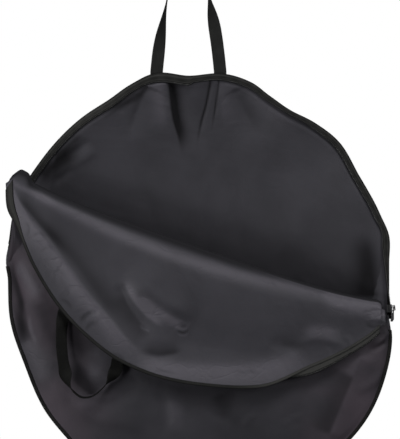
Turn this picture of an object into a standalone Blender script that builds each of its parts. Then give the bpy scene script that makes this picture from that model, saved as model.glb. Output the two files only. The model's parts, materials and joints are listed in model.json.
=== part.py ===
"""Bike wheel bag: two round cloth discs sewn together round their lower half and zipped round the upper half.

The bag hangs open from the webbing handle at its back. The upper part of the front disc is folded forward and
down over the lower part, and the front handle hangs from its edge. Metres, +Z up, the bag's front faces -Y.
The origin is the top of the back handle's grip.
"""
import math

import bpy
import bmesh
from mathutils import Matrix, Vector

# The bag's discs and cloth
disc_radius = 0.39
cloth_thickness = 0.0012
back_depth = 0.066
flat_band = 0.022
seam_band = 0.007
edge_inset = 0.0012
layer_gap = 0.0004

# The back disc's outer edge, as angle in degrees from +X and its distance from the middle as a share
rim_shares = (
    (0, 0.960), (7.5, 0.9683), (15, 0.9939), (22, 0.986), (35, 0.986), (46, 1.0195), (55, 1.017), (63, 1.008),
    (70, 1.033), (76, 1.071), (84, 1.089), (93, 1.0735), (101.5, 1.1085), (109, 1.086), (116, 1.057),
    (125, 1.048), (142, 1.031), (155, 1.028), (166, 0.9985), (172, 0.998), (178, 0.975), (190, 0.978),
    (204, 0.974), (219, 1.007), (228, 1.021), (240, 1.055), (255, 1.079), (270, 1.093), (285, 1.098),
    (300, 1.093), (315, 1.088), (324, 1.075), (335, 1.043), (344.6, 1.011), (352.5, 0.9683),
)

# The fold across the front disc, its two ends as shares of the disc's radius from its middle
fold_start_shares = (-0.944, 0.574)
fold_end_shares = (0.924, -0.081)
fold_start_depth = 0.045
fold_end_depth = 0.025
fold_roll = 0.006
fold_sag = 0.021
flap_drape = 0.013
flap_hem_lift = 0.010
pocket_bulge = 0.004

# The flap's lower edge, as shares of the fold's length: along the fold, and down from it
hem_shares = (
    (-0.006, 0.029), (0.019, 0.086), (0.056, 0.122), (0.131, 0.205), (0.226, 0.280), (0.326, 0.330),
    (0.420, 0.357), (0.539, 0.361), (0.690, 0.331), (0.783, 0.296), (0.867, 0.240), (0.943, 0.172),
    (0.995, 0.111), (1.021, 0.068),
)

# The zip round the upper half: where it ends, as angles in degrees, and its tape and coil
zip_right_angle = -9.5
zip_left_angle = 168.5
tape_width = 0.0105
tape_thickness = 0.0008
coil_diameter = 0.0036
coil_inset = 0.0124
coil_lift = 0.0030
turned_share = 0.72
unturned_share = 0.84
flap_tape_end_shares = (0.03, 0.985)
twist_drop = 0.004
rim_binding_depth = 0.0032

# The straight stretch of the coil that the slider runs on, its two ends as shares of the disc's radius
run_start_shares = (0.9672, -0.1350)
run_end_shares = (0.9280, 0.1950)
run_start_lift = 0.0105
run_settle_angle = 22.0

# The sewn lower edge: its ends as angles in degrees
seam_left_angle = 172.7
seam_right_angle = -11.5

# The pocket's free edge at the left, from the fold's corner to the seam's end, as shares of the disc's radius
free_edge_shares = ((-0.959, 0.523), (-0.929, 0.315), (-0.982, 0.127))
free_edge_part_share = 0.127
pocket_tape_shares = (0.16, 0.62)

# The binding round the sewn lower edge
binding_depth = 0.0070
binding_thickness = 0.0008
binding_slot = 0.0044
end_gap_angle = 1.2

# The webbing handles
webbing_width = 0.025
webbing_thickness = 0.0018
handle_spacing = 0.126
handle_offset = -0.023
handle_rise = 0.200
grip_width = 0.079
grip_corner = 0.024
fold_clearance = 0.003
foot_length = 0.080
foot_gap = 0.0006
twist_spans = ((0.05, 0.88), (0.40, 1.0))

# The front handle's places on the hem, and its hanging route from foot to foot, as shares of the disc's radius
front_foot_shares = ((-0.680, -0.115), (-0.411, -0.355))
front_route_shares = (
    (-0.692, -0.180), (-0.694, -0.290), (-0.680, -0.400), (-0.655, -0.490), (-0.600, -0.545), (-0.545, -0.545),
    (-0.495, -0.510), (-0.450, -0.455), (-0.418, -0.400),
)
front_foot_length = 0.070
front_grip_depth = 0.053
hem_stack = 0.0062
foot_stack = 0.0022
front_twist_spans = ((0.35, 0.56), (0.80, 0.95))

# The zip's slider, with its bridge, and the pull on it
slider_length = 0.015
slider_wall = 0.0012
slider_web = 0.0012
slider_clearance = 0.0006
slider_rest_share = 0.085
slider_facing = 33.0
plate_reach = 0.0010
bridge_width = 0.0030
bridge_height = 0.0070
bridge_length = 0.0110
bridge_bar = 0.0014
pull_width = 0.0085
pull_length = 0.027
pull_thickness = 0.0015
pull_eye = 0.0105
pull_arm = 0.0017
pull_rise = 0.0022
stop_length = 0.004
stop_width = 0.0042
stop_gap = 0.0010

# How finely the shapes are divided
rim_steps = 60
ring_steps = 7
fold_steps = 40
free_steps = 6
drop_steps = 9
strap_steps = 24
overrun = 0.002

right = Vector((1, 0, 0))
towards = Vector((0, -1, 0))
up = Vector((0, 0, 1))


def hermite(a, b, slope_a, slope_b, t):
    """A cubic from a to b, with its slopes given over the whole stretch."""
    return (
        a * (2 * t**3 - 3 * t**2 + 1) + slope_a * (t**3 - 2 * t**2 + t)
        + b * (3 * t**2 - 2 * t**3) + slope_b * (t**3 - t**2)
    )


def smooth(t):
    t = min(1, max(0, t))
    return t * t * (3 - 2 * t)


def rim_radius(angle):
    """The back disc's outer edge at an angle in degrees, on a closed smooth curve through its shares."""
    angle = angle % 360
    count = len(rim_shares)
    here = max(i for i in range(count) if rim_shares[i][0] <= angle)

    def knot(i):
        turns, i = divmod(i, count)
        return rim_shares[i][0] + 360 * turns, rim_shares[i][1]

    (a0, r0), (a1, r1), (a2, r2), (a3, r3) = (knot(here + k) for k in (-1, 0, 1, 2))
    span = a2 - a1
    slope_1 = (r2 - r0) / (a2 - a0) * span
    slope_2 = (r3 - r1) / (a3 - a1) * span
    return disc_radius * hermite(r1, r2, slope_1, slope_2, (angle - a1) / span)


middle = Vector((0, 0, -(handle_rise + rim_radius(90))))


def rim_point(angle, inset=0.0, y=0.0):
    """A point on the disc's edge, moved inwards by the inset."""
    r = rim_radius(angle) - inset
    a = math.radians(angle)
    return middle + Vector((r * math.cos(a), y, r * math.sin(a)))


def rim_angles(start, end):
    """Angles from start to end at the steps that all the rim's pieces share."""
    step = 360 / rim_steps
    first, last = math.floor(start / step) + 1, math.ceil(end / step)
    return [start] + [step * i for i in range(first, last)] + [end]


def panel_angles():
    """The whole ring's angles, with the places where its bindings end."""
    ends = (
        zip_right_angle + end_gap_angle, zip_left_angle - end_gap_angle, seam_left_angle + end_gap_angle,
        360 + seam_right_angle - end_gap_angle,
    )
    return sorted({a % 360 for a in ends} | {360 * i / rim_steps for i in range(rim_steps)})


def disc_place(shares, y=0.0):
    """A place given as shares of the disc's radius from its middle."""
    return middle + Vector((shares[0] * disc_radius, y, shares[1] * disc_radius))


def along_curve(points, t):
    """A point on a smooth open curve through the points, by share of the chords' length."""
    lengths = [(b - a).length for a, b in zip(points, points[1:])]
    goal = t * sum(lengths)
    for i, length in enumerate(lengths):
        if goal <= length or i == len(lengths) - 1:
            break
        goal -= length
    p1, p2 = points[i], points[i + 1]
    p0 = points[i - 1] if i else p1 + (p1 - p2)
    p3 = points[i + 2] if i + 2 < len(points) else p2 + (p2 - p1)
    slope_1 = (p2 - p0) * (lengths[i] / ((p1 - p0).length + lengths[i]))
    slope_2 = (p3 - p1) * (lengths[i] / ((p3 - p2).length + lengths[i]))
    return hermite(p1, p2, slope_1, slope_2, goal / lengths[i])


def back_surface(angle, share):
    """The middle of the back cloth: share 0 is the disc's middle, 1 where its flat edge band begins, 2 its edge."""
    inner = min(1, share)
    r = (rim_radius(angle) - flat_band) * inner + (flat_band - edge_inset) * (max(1, share) - 1)
    a = math.radians(angle)
    y = (cloth_thickness + layer_gap) / 2 + back_depth * (1 - inner**4)
    return middle + Vector((r * math.cos(a), y, r * math.sin(a)))


# The fold's own axes: along it, down from it and out towards the viewer
fold_start = disc_place(fold_start_shares, -fold_start_depth)
fold_end = disc_place(fold_end_shares, -fold_end_depth)
fold_length = (fold_end - fold_start).length
fold_along = (fold_end - fold_start).normalized()
fold_out = (towards - fold_along * towards.dot(fold_along)).normalized()
fold_down = fold_along.cross(fold_out)
if fold_down.z > 0:
    fold_down = -fold_down


def fold_place(u, v, w):
    """A place given by shares of the fold's length along and down from it, and a height out of its plane."""
    return fold_start + fold_along * (u * fold_length) + fold_down * (v * fold_length) + fold_out * w


def sag_share(s):
    """How far the fold's edge hangs under its ends, as a share of the fold's length."""
    return fold_sag / fold_length * (1 - (2 * s - 1) ** 4)


hem_curve = [Vector((u, v, 0)) for u, v in hem_shares]


def turn_of(s):
    """1 where the hem's zip tape is turned under, 0 where it lies open."""
    return 1 - smooth((s - turned_share) / (unturned_share - turned_share))


def hem_place(s):
    """Where the flap's cloth ends, as shares of the fold's length."""
    end = along_curve(hem_curve, s)
    top = Vector((s, sag_share(s), 0))
    inwards = (top - end).normalized() if (top - end).length else Vector((0, -1, 0))
    shown = (tape_width + coil_diameter) / fold_length
    return end + inwards * shown * (1 - turn_of(s))


def flap_height(s, t):
    """How far the flap stands out of the fold's plane."""
    across = math.sin(math.pi * min(1, max(0, s))) ** 0.7
    return fold_roll + across * (flap_hem_lift * t + flap_drape * 4 * t * (1 - t))


def flap_surface(s, t):
    """The middle of the flap's cloth, from the fold at t 0 to the hem at t 1."""
    place = Vector((s, sag_share(s), 0)).lerp(hem_place(s), t)
    return fold_place(place.x, place.y, flap_height(s, t))


def pocket_columns():
    """Where the pocket's columns of points stand, as shares from the fold's corner round to the zip's right end."""
    free = [free_edge_part_share * i / free_steps for i in range(free_steps)]
    end = 360 + seam_right_angle
    span = end - seam_left_angle
    sewn = [(angle - seam_left_angle) / span for angle in rim_angles(seam_left_angle, end)]
    return free + [free_edge_part_share + t * (1 - free_edge_part_share) for t in sewn]


def pocket_edge(s, inset):
    """The pocket's outer edge: its free edge from the fold's corner, then the sewn edge to the zip's right end."""
    y = -(cloth_thickness + layer_gap) / 2
    if s < free_edge_part_share:
        t = s / free_edge_part_share
        a, b, c = (disc_place(shares) for shares in free_edge_shares)
        place = a * (1 - t) ** 2 + b * (2 * t * (1 - t)) + c * t**2
        place += (middle - place).normalized() * inset
        place.y = (fold_roll - fold_start_depth) * (1 - t**4) + y * t**4
        return place
    t = (s - free_edge_part_share) / (1 - free_edge_part_share)
    angle = seam_left_angle + t * (360 + seam_right_angle - seam_left_angle)
    return rim_point(angle, inset, y)


def pocket_surface(s, t):
    """The middle of the pocket's cloth, from the fold at t 0 to its flat sewn band at t 1."""
    top = fold_place(s, sag_share(s), -fold_roll)
    edge = pocket_edge(s, seam_band)
    steep = 2 + 4 * math.sin(math.pi * s)
    place = top.lerp(edge, t)
    bulge = pocket_bulge * math.sin(math.pi * s) * 4 * t * (1 - t)
    place.y = top.y * (1 - t**steep) + edge.y * t**steep - bulge
    return place


def material(name, colour, roughness, metallic=0.0):
    made = bpy.data.materials.get(name)
    if made:
        return made
    made = bpy.data.materials.new(name)
    made.use_nodes = True
    shader = made.node_tree.nodes["Principled BSDF"]
    shader.inputs["Base Color"].default_value = (*colour, 1.0)
    shader.inputs["Roughness"].default_value = roughness
    shader.inputs["Metallic"].default_value = metallic
    made.diffuse_color = (*colour, 1.0)
    return made


def nylon():
    return material("nylon", (0.036, 0.033, 0.042), 0.45)


def tape_cloth():
    return material("tape_cloth", (0.012, 0.012, 0.011), 0.75)


def webbing_cloth():
    return material("webbing_cloth", (0.014, 0.014, 0.012), 0.70)


def coil_plastic():
    return material("coil_plastic", (0.015, 0.015, 0.015), 0.40)


def zip_metal():
    return material("zip_metal", (0.10, 0.10, 0.11), 0.35, 0.9)


def add_object(name, data, finish):
    obj = bpy.data.objects.new(name, data)
    bpy.context.scene.collection.objects.link(obj)
    data.materials.append(finish)
    return obj


def move_origin(obj, place):
    """Puts the object's origin on its joint, with its mesh left where it is."""
    if obj.type == "MESH":
        for vertex in obj.data.vertices:
            vertex.co -= place
    else:
        for spline in obj.data.splines:
            for point in spline.points:
                point.co = (*(point.co.xyz - place), 1)
    obj.location = place


def add_thickness(obj, thickness):
    solid = obj.modifiers.new("thickness", "SOLIDIFY")
    solid.thickness = thickness
    solid.offset = 0
    solid.use_even_offset = True
    obj.data.shade_smooth()


def sheet(name, rows, thickness, finish):
    """A cloth sheet through a grid of points."""
    mesh = bmesh.new()
    grid = [[mesh.verts.new(point) for point in row] for row in rows]
    for a, b in zip(grid, grid[1:]):
        for i in range(1, len(a)):
            mesh.faces.new((a[i - 1], a[i], b[i], b[i - 1]))
    data = bpy.data.meshes.new(name)
    mesh.to_mesh(data)
    mesh.free()
    obj = add_object(name, data, finish)
    add_thickness(obj, thickness)
    return obj


def tube(name, points, diameter, finish):
    """A round cord along the points, with closed ends."""
    data = bpy.data.curves.new(name, "CURVE")
    data.dimensions = "3D"
    data.bevel_depth = diameter / 2
    data.bevel_resolution = 1
    data.use_fill_caps = True
    spline = data.splines.new("POLY")
    spline.points.add(len(points) - 1)
    for point, place in zip(spline.points, points):
        point.co = (*place, 1)
    return add_object(name, data, finish)


def block(name, size, place, finish, bevel=0.0):
    """A box about its place, with its edges bevelled."""
    data = bpy.data.meshes.new(name)
    mesh = bmesh.new()
    bmesh.ops.create_cube(mesh, size=1)
    bmesh.ops.scale(mesh, vec=size, verts=mesh.verts)
    bmesh.ops.translate(mesh, vec=place, verts=mesh.verts)
    if bevel:
        bmesh.ops.bevel(mesh, geom=mesh.edges[:], offset=bevel, segments=1, affect="EDGES")
    mesh.to_mesh(data)
    mesh.free()
    return add_object(name, data, finish)


def combine(obj, other, operation):
    """A Boolean of one object with another, which then only guides it."""
    step = obj.modifiers.new(operation.lower(), "BOOLEAN")
    step.operation = operation
    step.object = other
    other.hide_render = True
    other.display_type = "WIRE"


def make_back_panel():
    angles = panel_angles()
    mesh = bmesh.new()
    centre = mesh.verts.new(back_surface(0, 0))
    grid = []
    for share in [ring / ring_steps for ring in range(1, ring_steps + 1)] + [2]:
        grid.append([mesh.verts.new(back_surface(angle, share)) for angle in angles])
    for i, b in enumerate(grid[0]):
        mesh.faces.new((centre, b, grid[0][i - 1]))
    for a, b in zip(grid, grid[1:]):
        for i in range(len(angles)):
            mesh.faces.new((a[i - 1], a[i], b[i], b[i - 1]))
    data = bpy.data.meshes.new("back_panel")
    mesh.to_mesh(data)
    mesh.free()
    add_thickness(add_object("back_panel", data, nylon()), cloth_thickness)


def make_pocket_panel():
    columns = pocket_columns()
    rows = [[pocket_surface(s, k / drop_steps) for s in columns] for k in range(drop_steps + 1)]
    rows.append([pocket_edge(s, edge_inset) for s in columns])
    sheet("pocket_panel", rows, cloth_thickness, nylon())


def make_flap():
    rows = []
    for k in range(drop_steps + 1):
        rows.append([flap_surface(i / fold_steps, k / drop_steps) for i in range(fold_steps + 1)])
    move_origin(sheet("front_flap", rows, cloth_thickness, nylon()), fold_start)


def folded_tape(name, start, end, depth):
    """A tape folded round the disc's edge between two angles: its front leg, its outer face and its back leg."""
    leg = binding_slot / 2
    across = ((depth, -leg), (0.0, -leg), (0.0, leg), (depth, leg))
    rows = [[rim_point(angle, inset, y) for angle in rim_angles(start, end)] for inset, y in across]
    sheet(name, rows, binding_thickness, tape_cloth())


def make_bindings():
    folded_tape("seam_binding", seam_left_angle + end_gap_angle, 360 + seam_right_angle - end_gap_angle, binding_depth)
    folded_tape("rim_binding", zip_right_angle + end_gap_angle, zip_left_angle - end_gap_angle, rim_binding_depth)


run_start = disc_place(run_start_shares, -run_start_lift)
run_end = disc_place(run_end_shares, -coil_lift)
run_along = (run_end - run_start).normalized()


def coil_place(angle):
    """The middle of the back's coil: straight where the slider runs, then at one distance from the rim."""
    a = math.radians(angle)
    level = middle.z + rim_radius(angle) * math.sin(a)
    on_rim = rim_point(angle, coil_inset, -coil_lift)
    if level < run_end.z:
        return run_start + run_along * ((level - run_start.z) / run_along.z)
    end_angle = math.degrees(math.atan2(run_end.z - middle.z, run_end.x))
    settle = smooth((angle - end_angle) / (run_settle_angle - end_angle))
    return on_rim.lerp(Vector((run_end.x, run_end.y, on_rim.z)), (1 - settle) * (angle < run_settle_angle))


def make_back_zip():
    """The back's half of the zip: a tape sewn along the disc's edge, fallen inwards, with the coil at its edge."""
    angles = rim_angles(zip_right_angle, zip_left_angle)
    coil = [coil_place(angle) for angle in angles]
    sewn_y = -binding_slot / 2 - binding_thickness / 2 - layer_gap - tape_thickness / 2
    sewn = [rim_point(angle, edge_inset, sewn_y) for angle in angles]
    free = [c + (a - c).normalized() * (coil_diameter / 2 + layer_gap) for a, c in zip(sewn, coil)]
    sheet("back_zip_tape", [sewn, free], tape_thickness, tape_cloth())
    tube("back_zip_coil", coil, coil_diameter, coil_plastic())


def under_hem(s, inset, drop):
    """A place under the flap, inwards of its hem."""
    t = 1 - inset / (flap_surface(s, 1) - flap_surface(s, 0)).length
    return flap_surface(s, t) - fold_out * drop


def beyond_hem(s, reach, drop):
    """A place past the flap's hem."""
    edge = flap_surface(s, 1)
    return edge + (edge - flap_surface(s, 0.9)).normalized() * reach - fold_out * drop


def hem_tape_place(s, reach, extra):
    """A place across the flap's zip tape, which is turned under along most of the hem and open near its end."""
    drop = cloth_thickness / 2 + layer_gap + tape_thickness / 2 + extra
    turn = turn_of(s)
    place = beyond_hem(s, reach, drop).lerp(under_hem(s, reach, drop), turn)
    return place - fold_out * (twist_drop * reach / tape_width * 4 * turn * (1 - turn))


def make_flap_zip():
    first, last = flap_tape_end_shares
    shares = [first + (last - first) * i / fold_steps for i in range(fold_steps + 1)]
    rows = [[hem_tape_place(s, reach, 0) for s in shares] for reach in (layer_gap, tape_width)]
    coil_reach = tape_width + layer_gap + coil_diameter / 2
    coil = [hem_tape_place(s, coil_reach, (coil_diameter - tape_thickness) / 2) for s in shares]
    move_origin(sheet("flap_zip_tape", rows, tape_thickness, tape_cloth()), fold_start)
    move_origin(tube("flap_zip_coil", coil, coil_diameter, coil_plastic()), fold_start)


def make_pocket_zip():
    """The short stretch of the front's zip below the fold's corner, turned inwards behind the cloth."""
    inner, outer, coil = [], [], []
    first, last = pocket_tape_shares
    for i in range(free_steps + 1):
        s = free_edge_part_share * (first + (last - first) * i / free_steps)
        edge = pocket_edge(s, edge_inset)
        inwards = (pocket_edge(s, seam_band) - edge).normalized()
        start = edge - towards * (cloth_thickness + layer_gap)
        direction = (inwards - towards * 0.5).normalized()
        inner.append(start)
        outer.append(start + direction * tape_width)
        coil.append(start + direction * (tape_width + layer_gap + coil_diameter / 2))
    sheet("pocket_zip_tape", [inner, outer], tape_thickness, tape_cloth())
    tube("pocket_zip_coil", coil, coil_diameter, coil_plastic())


def leg_x(side):
    return handle_offset + side * handle_spacing / 2


def rim_top(x):
    """The height of the disc's upper edge over a place across it."""
    angle = 90.0
    for _ in range(8):
        angle = math.degrees(math.acos(x / rim_radius(angle)))
    return rim_point(angle).z


hinge_y = binding_slot / 2 + binding_thickness / 2 + foot_gap + webbing_thickness / 2
hinge_z = max(rim_top(leg_x(side)) for side in (-1, 1)) + fold_clearance
hinge_place = Vector((handle_offset, hinge_y, hinge_z))


def ribbon(name, centres, across, finish):
    """A length of webbing along its centre line, with the direction across it given at each point."""
    half = webbing_width / 2
    rows = [[c - a * half for c, a in zip(centres, across)], [c + a * half for c, a in zip(centres, across)]]
    return sheet(name, rows, webbing_thickness, finish)


def back_handle_route():
    """The free loop of the back handle from its left foot over the grip to its right foot."""
    foot = Vector((handle_spacing / 2, 0, hinge_z + fold_clearance))
    corner = Vector((grip_width / 2, 0, -webbing_thickness / 2 - grip_corner))
    route = []
    leg_steps = strap_steps // 2
    for i in range(leg_steps):
        route.append((foot.lerp(corner, i / leg_steps), i / leg_steps))
    for i in range(7):
        turn = math.pi / 2 * i / 6
        x = corner.x - grip_corner + grip_corner * math.cos(turn)
        route.append((Vector((x, 0, corner.z + grip_corner * math.sin(turn))), 1.0))
    return route


def make_back_handle():
    """The webbing leaves its feet flat to the back, twists a quarter turn in each leg and crosses the grip."""
    centres, across = [], []
    route = back_handle_route()
    for side, (start, end) in zip((-1, 1), twist_spans):
        half_centres, half_across = [], []
        for place, share in route:
            turn = math.pi / 2 * smooth((share - start) / (end - start))
            half_centres.append(Vector((handle_offset + side * place.x, hinge_y, place.z)))
            half_across.append(right * math.cos(turn) - towards * (side * math.sin(turn) * side))
        if side == 1:
            half_centres.reverse()
            half_across.reverse()
        centres += half_centres
        across += half_across
    ribbon("back_handle", centres, across, webbing_cloth())


def back_cloth_y(x, z):
    """The back face of the back cloth at a place."""
    place = Vector((x, 0, z)) - middle
    angle = math.degrees(math.atan2(place.z, place.x))
    share = math.hypot(place.x, place.z) / (rim_radius(angle) - flat_band)
    return back_surface(angle, min(1, share)).y + cloth_thickness / 2


def make_back_feet():
    """The ends of the back handle, sewn flat on the disc's back face."""
    for side, name in ((-1, "back_handle_foot_left"), (1, "back_handle_foot_right")):
        x = leg_x(side)
        top = hinge_z - fold_clearance
        centres = []
        for i in range(7):
            z = top - foot_length * i / 6
            y = max(hinge_y, back_cloth_y(x, z) + foot_gap * 3 + webbing_thickness / 2)
            centres.append(Vector((x, y if i else hinge_y, z)))
        ribbon(name, centres, [right] * len(centres), webbing_cloth())


def mirrored(direction):
    """A direction in the closed flap as it lies once the flap is folded down."""
    return direction - fold_down * (2 * direction.dot(fold_down)) - fold_out * (2 * direction.dot(fold_out))


def flap_depth_at(place):
    """The flap's own height out of the fold's plane near its hem, at a place across the bag."""
    s = (place - fold_start).dot(fold_along) / fold_length
    return flap_height(s, 1)


front_down = mirrored(Vector((0, 0, -1)))
front_feet = []
for shares in front_foot_shares:
    foot = disc_place(shares)
    height = flap_depth_at(foot) - hem_stack - foot_stack
    foot -= fold_start
    foot = fold_place(foot.dot(fold_along) / fold_length, foot.dot(fold_down) / fold_length, height)
    front_feet.append(foot)
front_hinge = (front_feet[0] + front_feet[1]) / 2
front_axis = (front_feet[1] - front_feet[0]).normalized()


def make_front_feet():
    """The ends of the front handle, sewn on the flap's outer face over the turned tape."""
    in_plane = front_down - fold_out * front_down.dot(fold_out)
    in_plane.normalize()
    across = in_plane.cross(fold_out)
    close = cloth_thickness / 2 + foot_gap + webbing_thickness / 2
    for foot, name in zip(front_feet, ("front_handle_foot_left", "front_handle_foot_right")):
        centres = []
        for i in range(7):
            run = fold_clearance + front_foot_length * i / 6
            place = foot + in_plane * run
            u = (place - fold_start).dot(fold_along) / fold_length
            v = (place - fold_start).dot(fold_down) / fold_length
            t = (v - sag_share(u)) / max(0.05, hem_place(u).y - sag_share(u))
            lift = flap_height(u, min(1, t))
            clear = hem_stack + (close - hem_stack) * smooth((run - 2 * tape_width) / tape_width)
            centres.append(fold_place(u, v, lift - clear))
        move_origin(ribbon(name, centres, [across] * len(centres), webbing_cloth()), front_hinge)


def make_front_handle():
    """The front handle's loop, which hangs from the hem in front of the pocket."""
    away = -front_down
    away = (away - fold_out * away.dot(fold_out)).normalized()
    ends = [foot + away * fold_clearance for foot in front_feet]
    route = [ends[0]]
    count = len(front_route_shares)
    for i, shares in enumerate(front_route_shares):
        bow = math.sin(math.pi * (i + 1) / (count + 1))
        depth = -(ends[0].y + (ends[1].y - ends[0].y) * (i + 1) / (count + 1))
        route.append(disc_place(shares, -(depth + (front_grip_depth - depth) * bow)))
    route.append(ends[1])
    first = away.cross(towards).normalized()
    centres, across = [], []
    steps = strap_steps + 6
    (a0, a1), (b0, b1) = front_twist_spans
    for i in range(steps + 1):
        t = i / steps
        place = along_curve(route, t)
        ahead = along_curve(route, min(1, t + 1 / steps)) - along_curve(route, max(0, t - 1 / steps))
        side = ahead.normalized().cross(towards).normalized()
        if i in (0, steps):
            side = first * (1 if side.dot(first) > 0 else -1)
        turn = math.pi / 2 * (smooth((t - a0) / (a1 - a0)) - smooth((t - b0) / (b1 - b0)))
        centres.append(place)
        across.append(side * math.cos(turn) - towards * math.sin(turn))
    move_origin(ribbon("front_handle", centres, across, webbing_cloth()), front_hinge)


slider_place = run_start.lerp(run_end, slider_rest_share)
channel = coil_diameter + 2 * slider_clearance
slider_web_y = -(channel + slider_web) / 2
pivot_reach = channel / 2 + slider_wall + bridge_height / 2


def extrude_outline(name, outline, depth_axis, depth, place, finish):
    """A prism: an outline, in the two axes square to its depth, pushed through along the third."""
    mesh = bmesh.new()
    others = [axis for axis in range(3) if axis != depth_axis]
    verts = []
    for a, b in outline:
        co = Vector((0, 0, 0))
        co[others[0]], co[others[1]], co[depth_axis] = a, b, -depth / 2
        verts.append(mesh.verts.new(co + place))
    face = mesh.faces.new(verts)
    moved = bmesh.ops.extrude_face_region(mesh, geom=[face])
    push = Vector((0, 0, 0))
    push[depth_axis] = depth
    bmesh.ops.translate(mesh, vec=push, verts=[v for v in moved["geom"] if isinstance(v, bmesh.types.BMVert)])
    bmesh.ops.recalc_face_normals(mesh, faces=mesh.faces[:])
    data = bpy.data.meshes.new(name)
    mesh.to_mesh(data)
    mesh.free()
    return add_object(name, data, finish)


facing = Matrix.Rotation(math.radians(-slider_facing), 4, "Z")
slider_back = facing.to_3x3() @ -towards
slider_back = (slider_back - run_along * run_along.dot(slider_back)).normalized()
slider_side = slider_back.cross(run_along).normalized()
slider_turn = Matrix((slider_side, slider_back, run_along)).transposed().to_4x4()
pivot = slider_place + slider_side * pivot_reach + run_along * pull_rise + slider_back * slider_web_y


def turn_onto_run(obj):
    """Turns a piece made about the origin so that its Z runs along the coil, and puts it on the coil."""
    obj.data.transform(slider_turn)
    obj.location = slider_place


def make_slider():
    """The slider: two plates joined by a web beside the coil, open on both sides, with a bridge outside them."""
    inner, outer = channel / 2, channel / 2 + slider_wall
    web_y = slider_web_y
    near, far = plate_reach, 2 * web_y - plate_reach
    outline = (
        (outer, far), (outer, near), (inner, near), (inner, web_y + slider_web / 2), (-inner, web_y + slider_web / 2),
        (-inner, near), (-outer, near), (-outer, far), (-inner, far), (-inner, web_y - slider_web / 2),
        (inner, web_y - slider_web / 2), (inner, far),
    )
    slider = extrude_outline("zip_slider", outline, 2, slider_length, Vector((0, 0, 0)), zip_metal())
    half, thick = bridge_length / 2, bridge_bar
    rise = bridge_height + thick
    foot = -slider_wall / 2
    arch = (
        (foot, -half), (rise - thick, -half), (rise, thick - half), (rise, half - thick), (rise - thick, half),
        (foot, half), (foot, half - thick), (rise - thick, half - thick), (rise - thick, thick - half),
        (foot, thick - half),
    )
    bridge = extrude_outline("zip_bridge_guide", arch, 1, bridge_width, Vector((outer, web_y, 0)), zip_metal())
    combine(slider, bridge, "UNION")
    turn_onto_run(slider)
    turn_onto_run(bridge)


def make_pull():
    """The pull: a flat tab whose eye goes round the bridge, hanging from the bar in it."""
    half, arm = pull_width / 2, pull_arm
    top = arm / 2
    low, tip = top - arm - pull_eye, top - pull_length
    zero = Vector((0, 0, 0))
    outline = (
        (-half, top), (half, top), (half, tip + arm), (half - arm, tip), (arm - half, tip), (-half, tip + arm),
    )
    tab = extrude_outline("zip_pull", outline, 0, pull_thickness, zero, zip_metal())
    hole = ((arm - half, low), (half - arm, low), (half - arm, top - arm), (arm - half, top - arm))
    eye = extrude_outline("zip_eye_guide", hole, 0, pull_thickness + overrun, zero, zip_metal())
    combine(tab, eye, "DIFFERENCE")
    for obj in (tab, eye):
        obj.data.transform(facing)
        obj.location = pivot


def make_zip_stops():
    """The small metal stops past the two ends of the back's coil."""
    size = (stop_width, stop_width, stop_length)
    reach = stop_gap + stop_length / 2
    for name, angle, turn in (("zip_stop_right", zip_right_angle, -1), ("zip_stop_left", zip_left_angle, 1)):
        end = coil_place(angle)
        ahead = (end - coil_place(angle - turn)).normalized()
        stop = block(name, size, Vector((0, 0, 0)), zip_metal(), bevel=stop_width / 8)
        stop.data.transform(up.rotation_difference(ahead).to_matrix().to_4x4())
        stop.location = end + ahead * reach


for old in list(bpy.data.objects):
    bpy.data.objects.remove(old)
make_back_panel()
make_pocket_panel()
make_flap()
make_bindings()
make_back_zip()
make_flap_zip()
make_pocket_zip()
make_back_handle()
make_back_feet()
make_front_feet()
make_front_handle()
make_slider()
make_pull()
make_zip_stops()
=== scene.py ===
"""An open bike wheel bag: its cloth, zip, bindings and webbing handles, with plain studio light and a camera.

Lengths are metres. The bag hangs by its back handle, whose grip is the origin, and its front faces -Y.
"""
from __future__ import annotations

import json
import logging
import math
from collections.abc import Callable, Iterable, Sequence
from dataclasses import dataclass
from enum import Enum
from functools import cache, cached_property

import bmesh
import bpy
import numpy as np
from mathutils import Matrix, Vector

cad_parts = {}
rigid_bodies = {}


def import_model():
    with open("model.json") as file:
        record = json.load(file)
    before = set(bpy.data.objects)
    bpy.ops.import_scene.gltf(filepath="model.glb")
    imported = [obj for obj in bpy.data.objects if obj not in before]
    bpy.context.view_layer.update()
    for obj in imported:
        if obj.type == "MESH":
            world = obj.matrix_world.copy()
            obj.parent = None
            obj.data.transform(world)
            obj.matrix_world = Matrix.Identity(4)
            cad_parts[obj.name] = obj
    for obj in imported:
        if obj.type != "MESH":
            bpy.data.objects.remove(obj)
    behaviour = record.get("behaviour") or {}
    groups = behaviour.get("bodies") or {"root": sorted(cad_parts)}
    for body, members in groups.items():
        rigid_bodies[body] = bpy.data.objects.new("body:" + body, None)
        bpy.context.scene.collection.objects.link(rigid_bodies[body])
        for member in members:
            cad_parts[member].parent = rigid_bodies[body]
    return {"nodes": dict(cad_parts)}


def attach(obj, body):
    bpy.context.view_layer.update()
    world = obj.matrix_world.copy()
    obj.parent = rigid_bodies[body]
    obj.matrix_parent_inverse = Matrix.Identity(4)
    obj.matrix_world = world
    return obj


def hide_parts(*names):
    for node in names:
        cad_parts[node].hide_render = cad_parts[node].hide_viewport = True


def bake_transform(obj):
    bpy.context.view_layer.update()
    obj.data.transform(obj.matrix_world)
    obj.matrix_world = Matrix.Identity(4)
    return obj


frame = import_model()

logging.basicConfig(level=logging.INFO, format="%(message)s")
log = logging.getLogger("wheel_bag")

Array = np.ndarray
Pair = tuple[float, float]
Knots = tuple[Pair, ...]
Triple = tuple[float, float, float]

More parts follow.
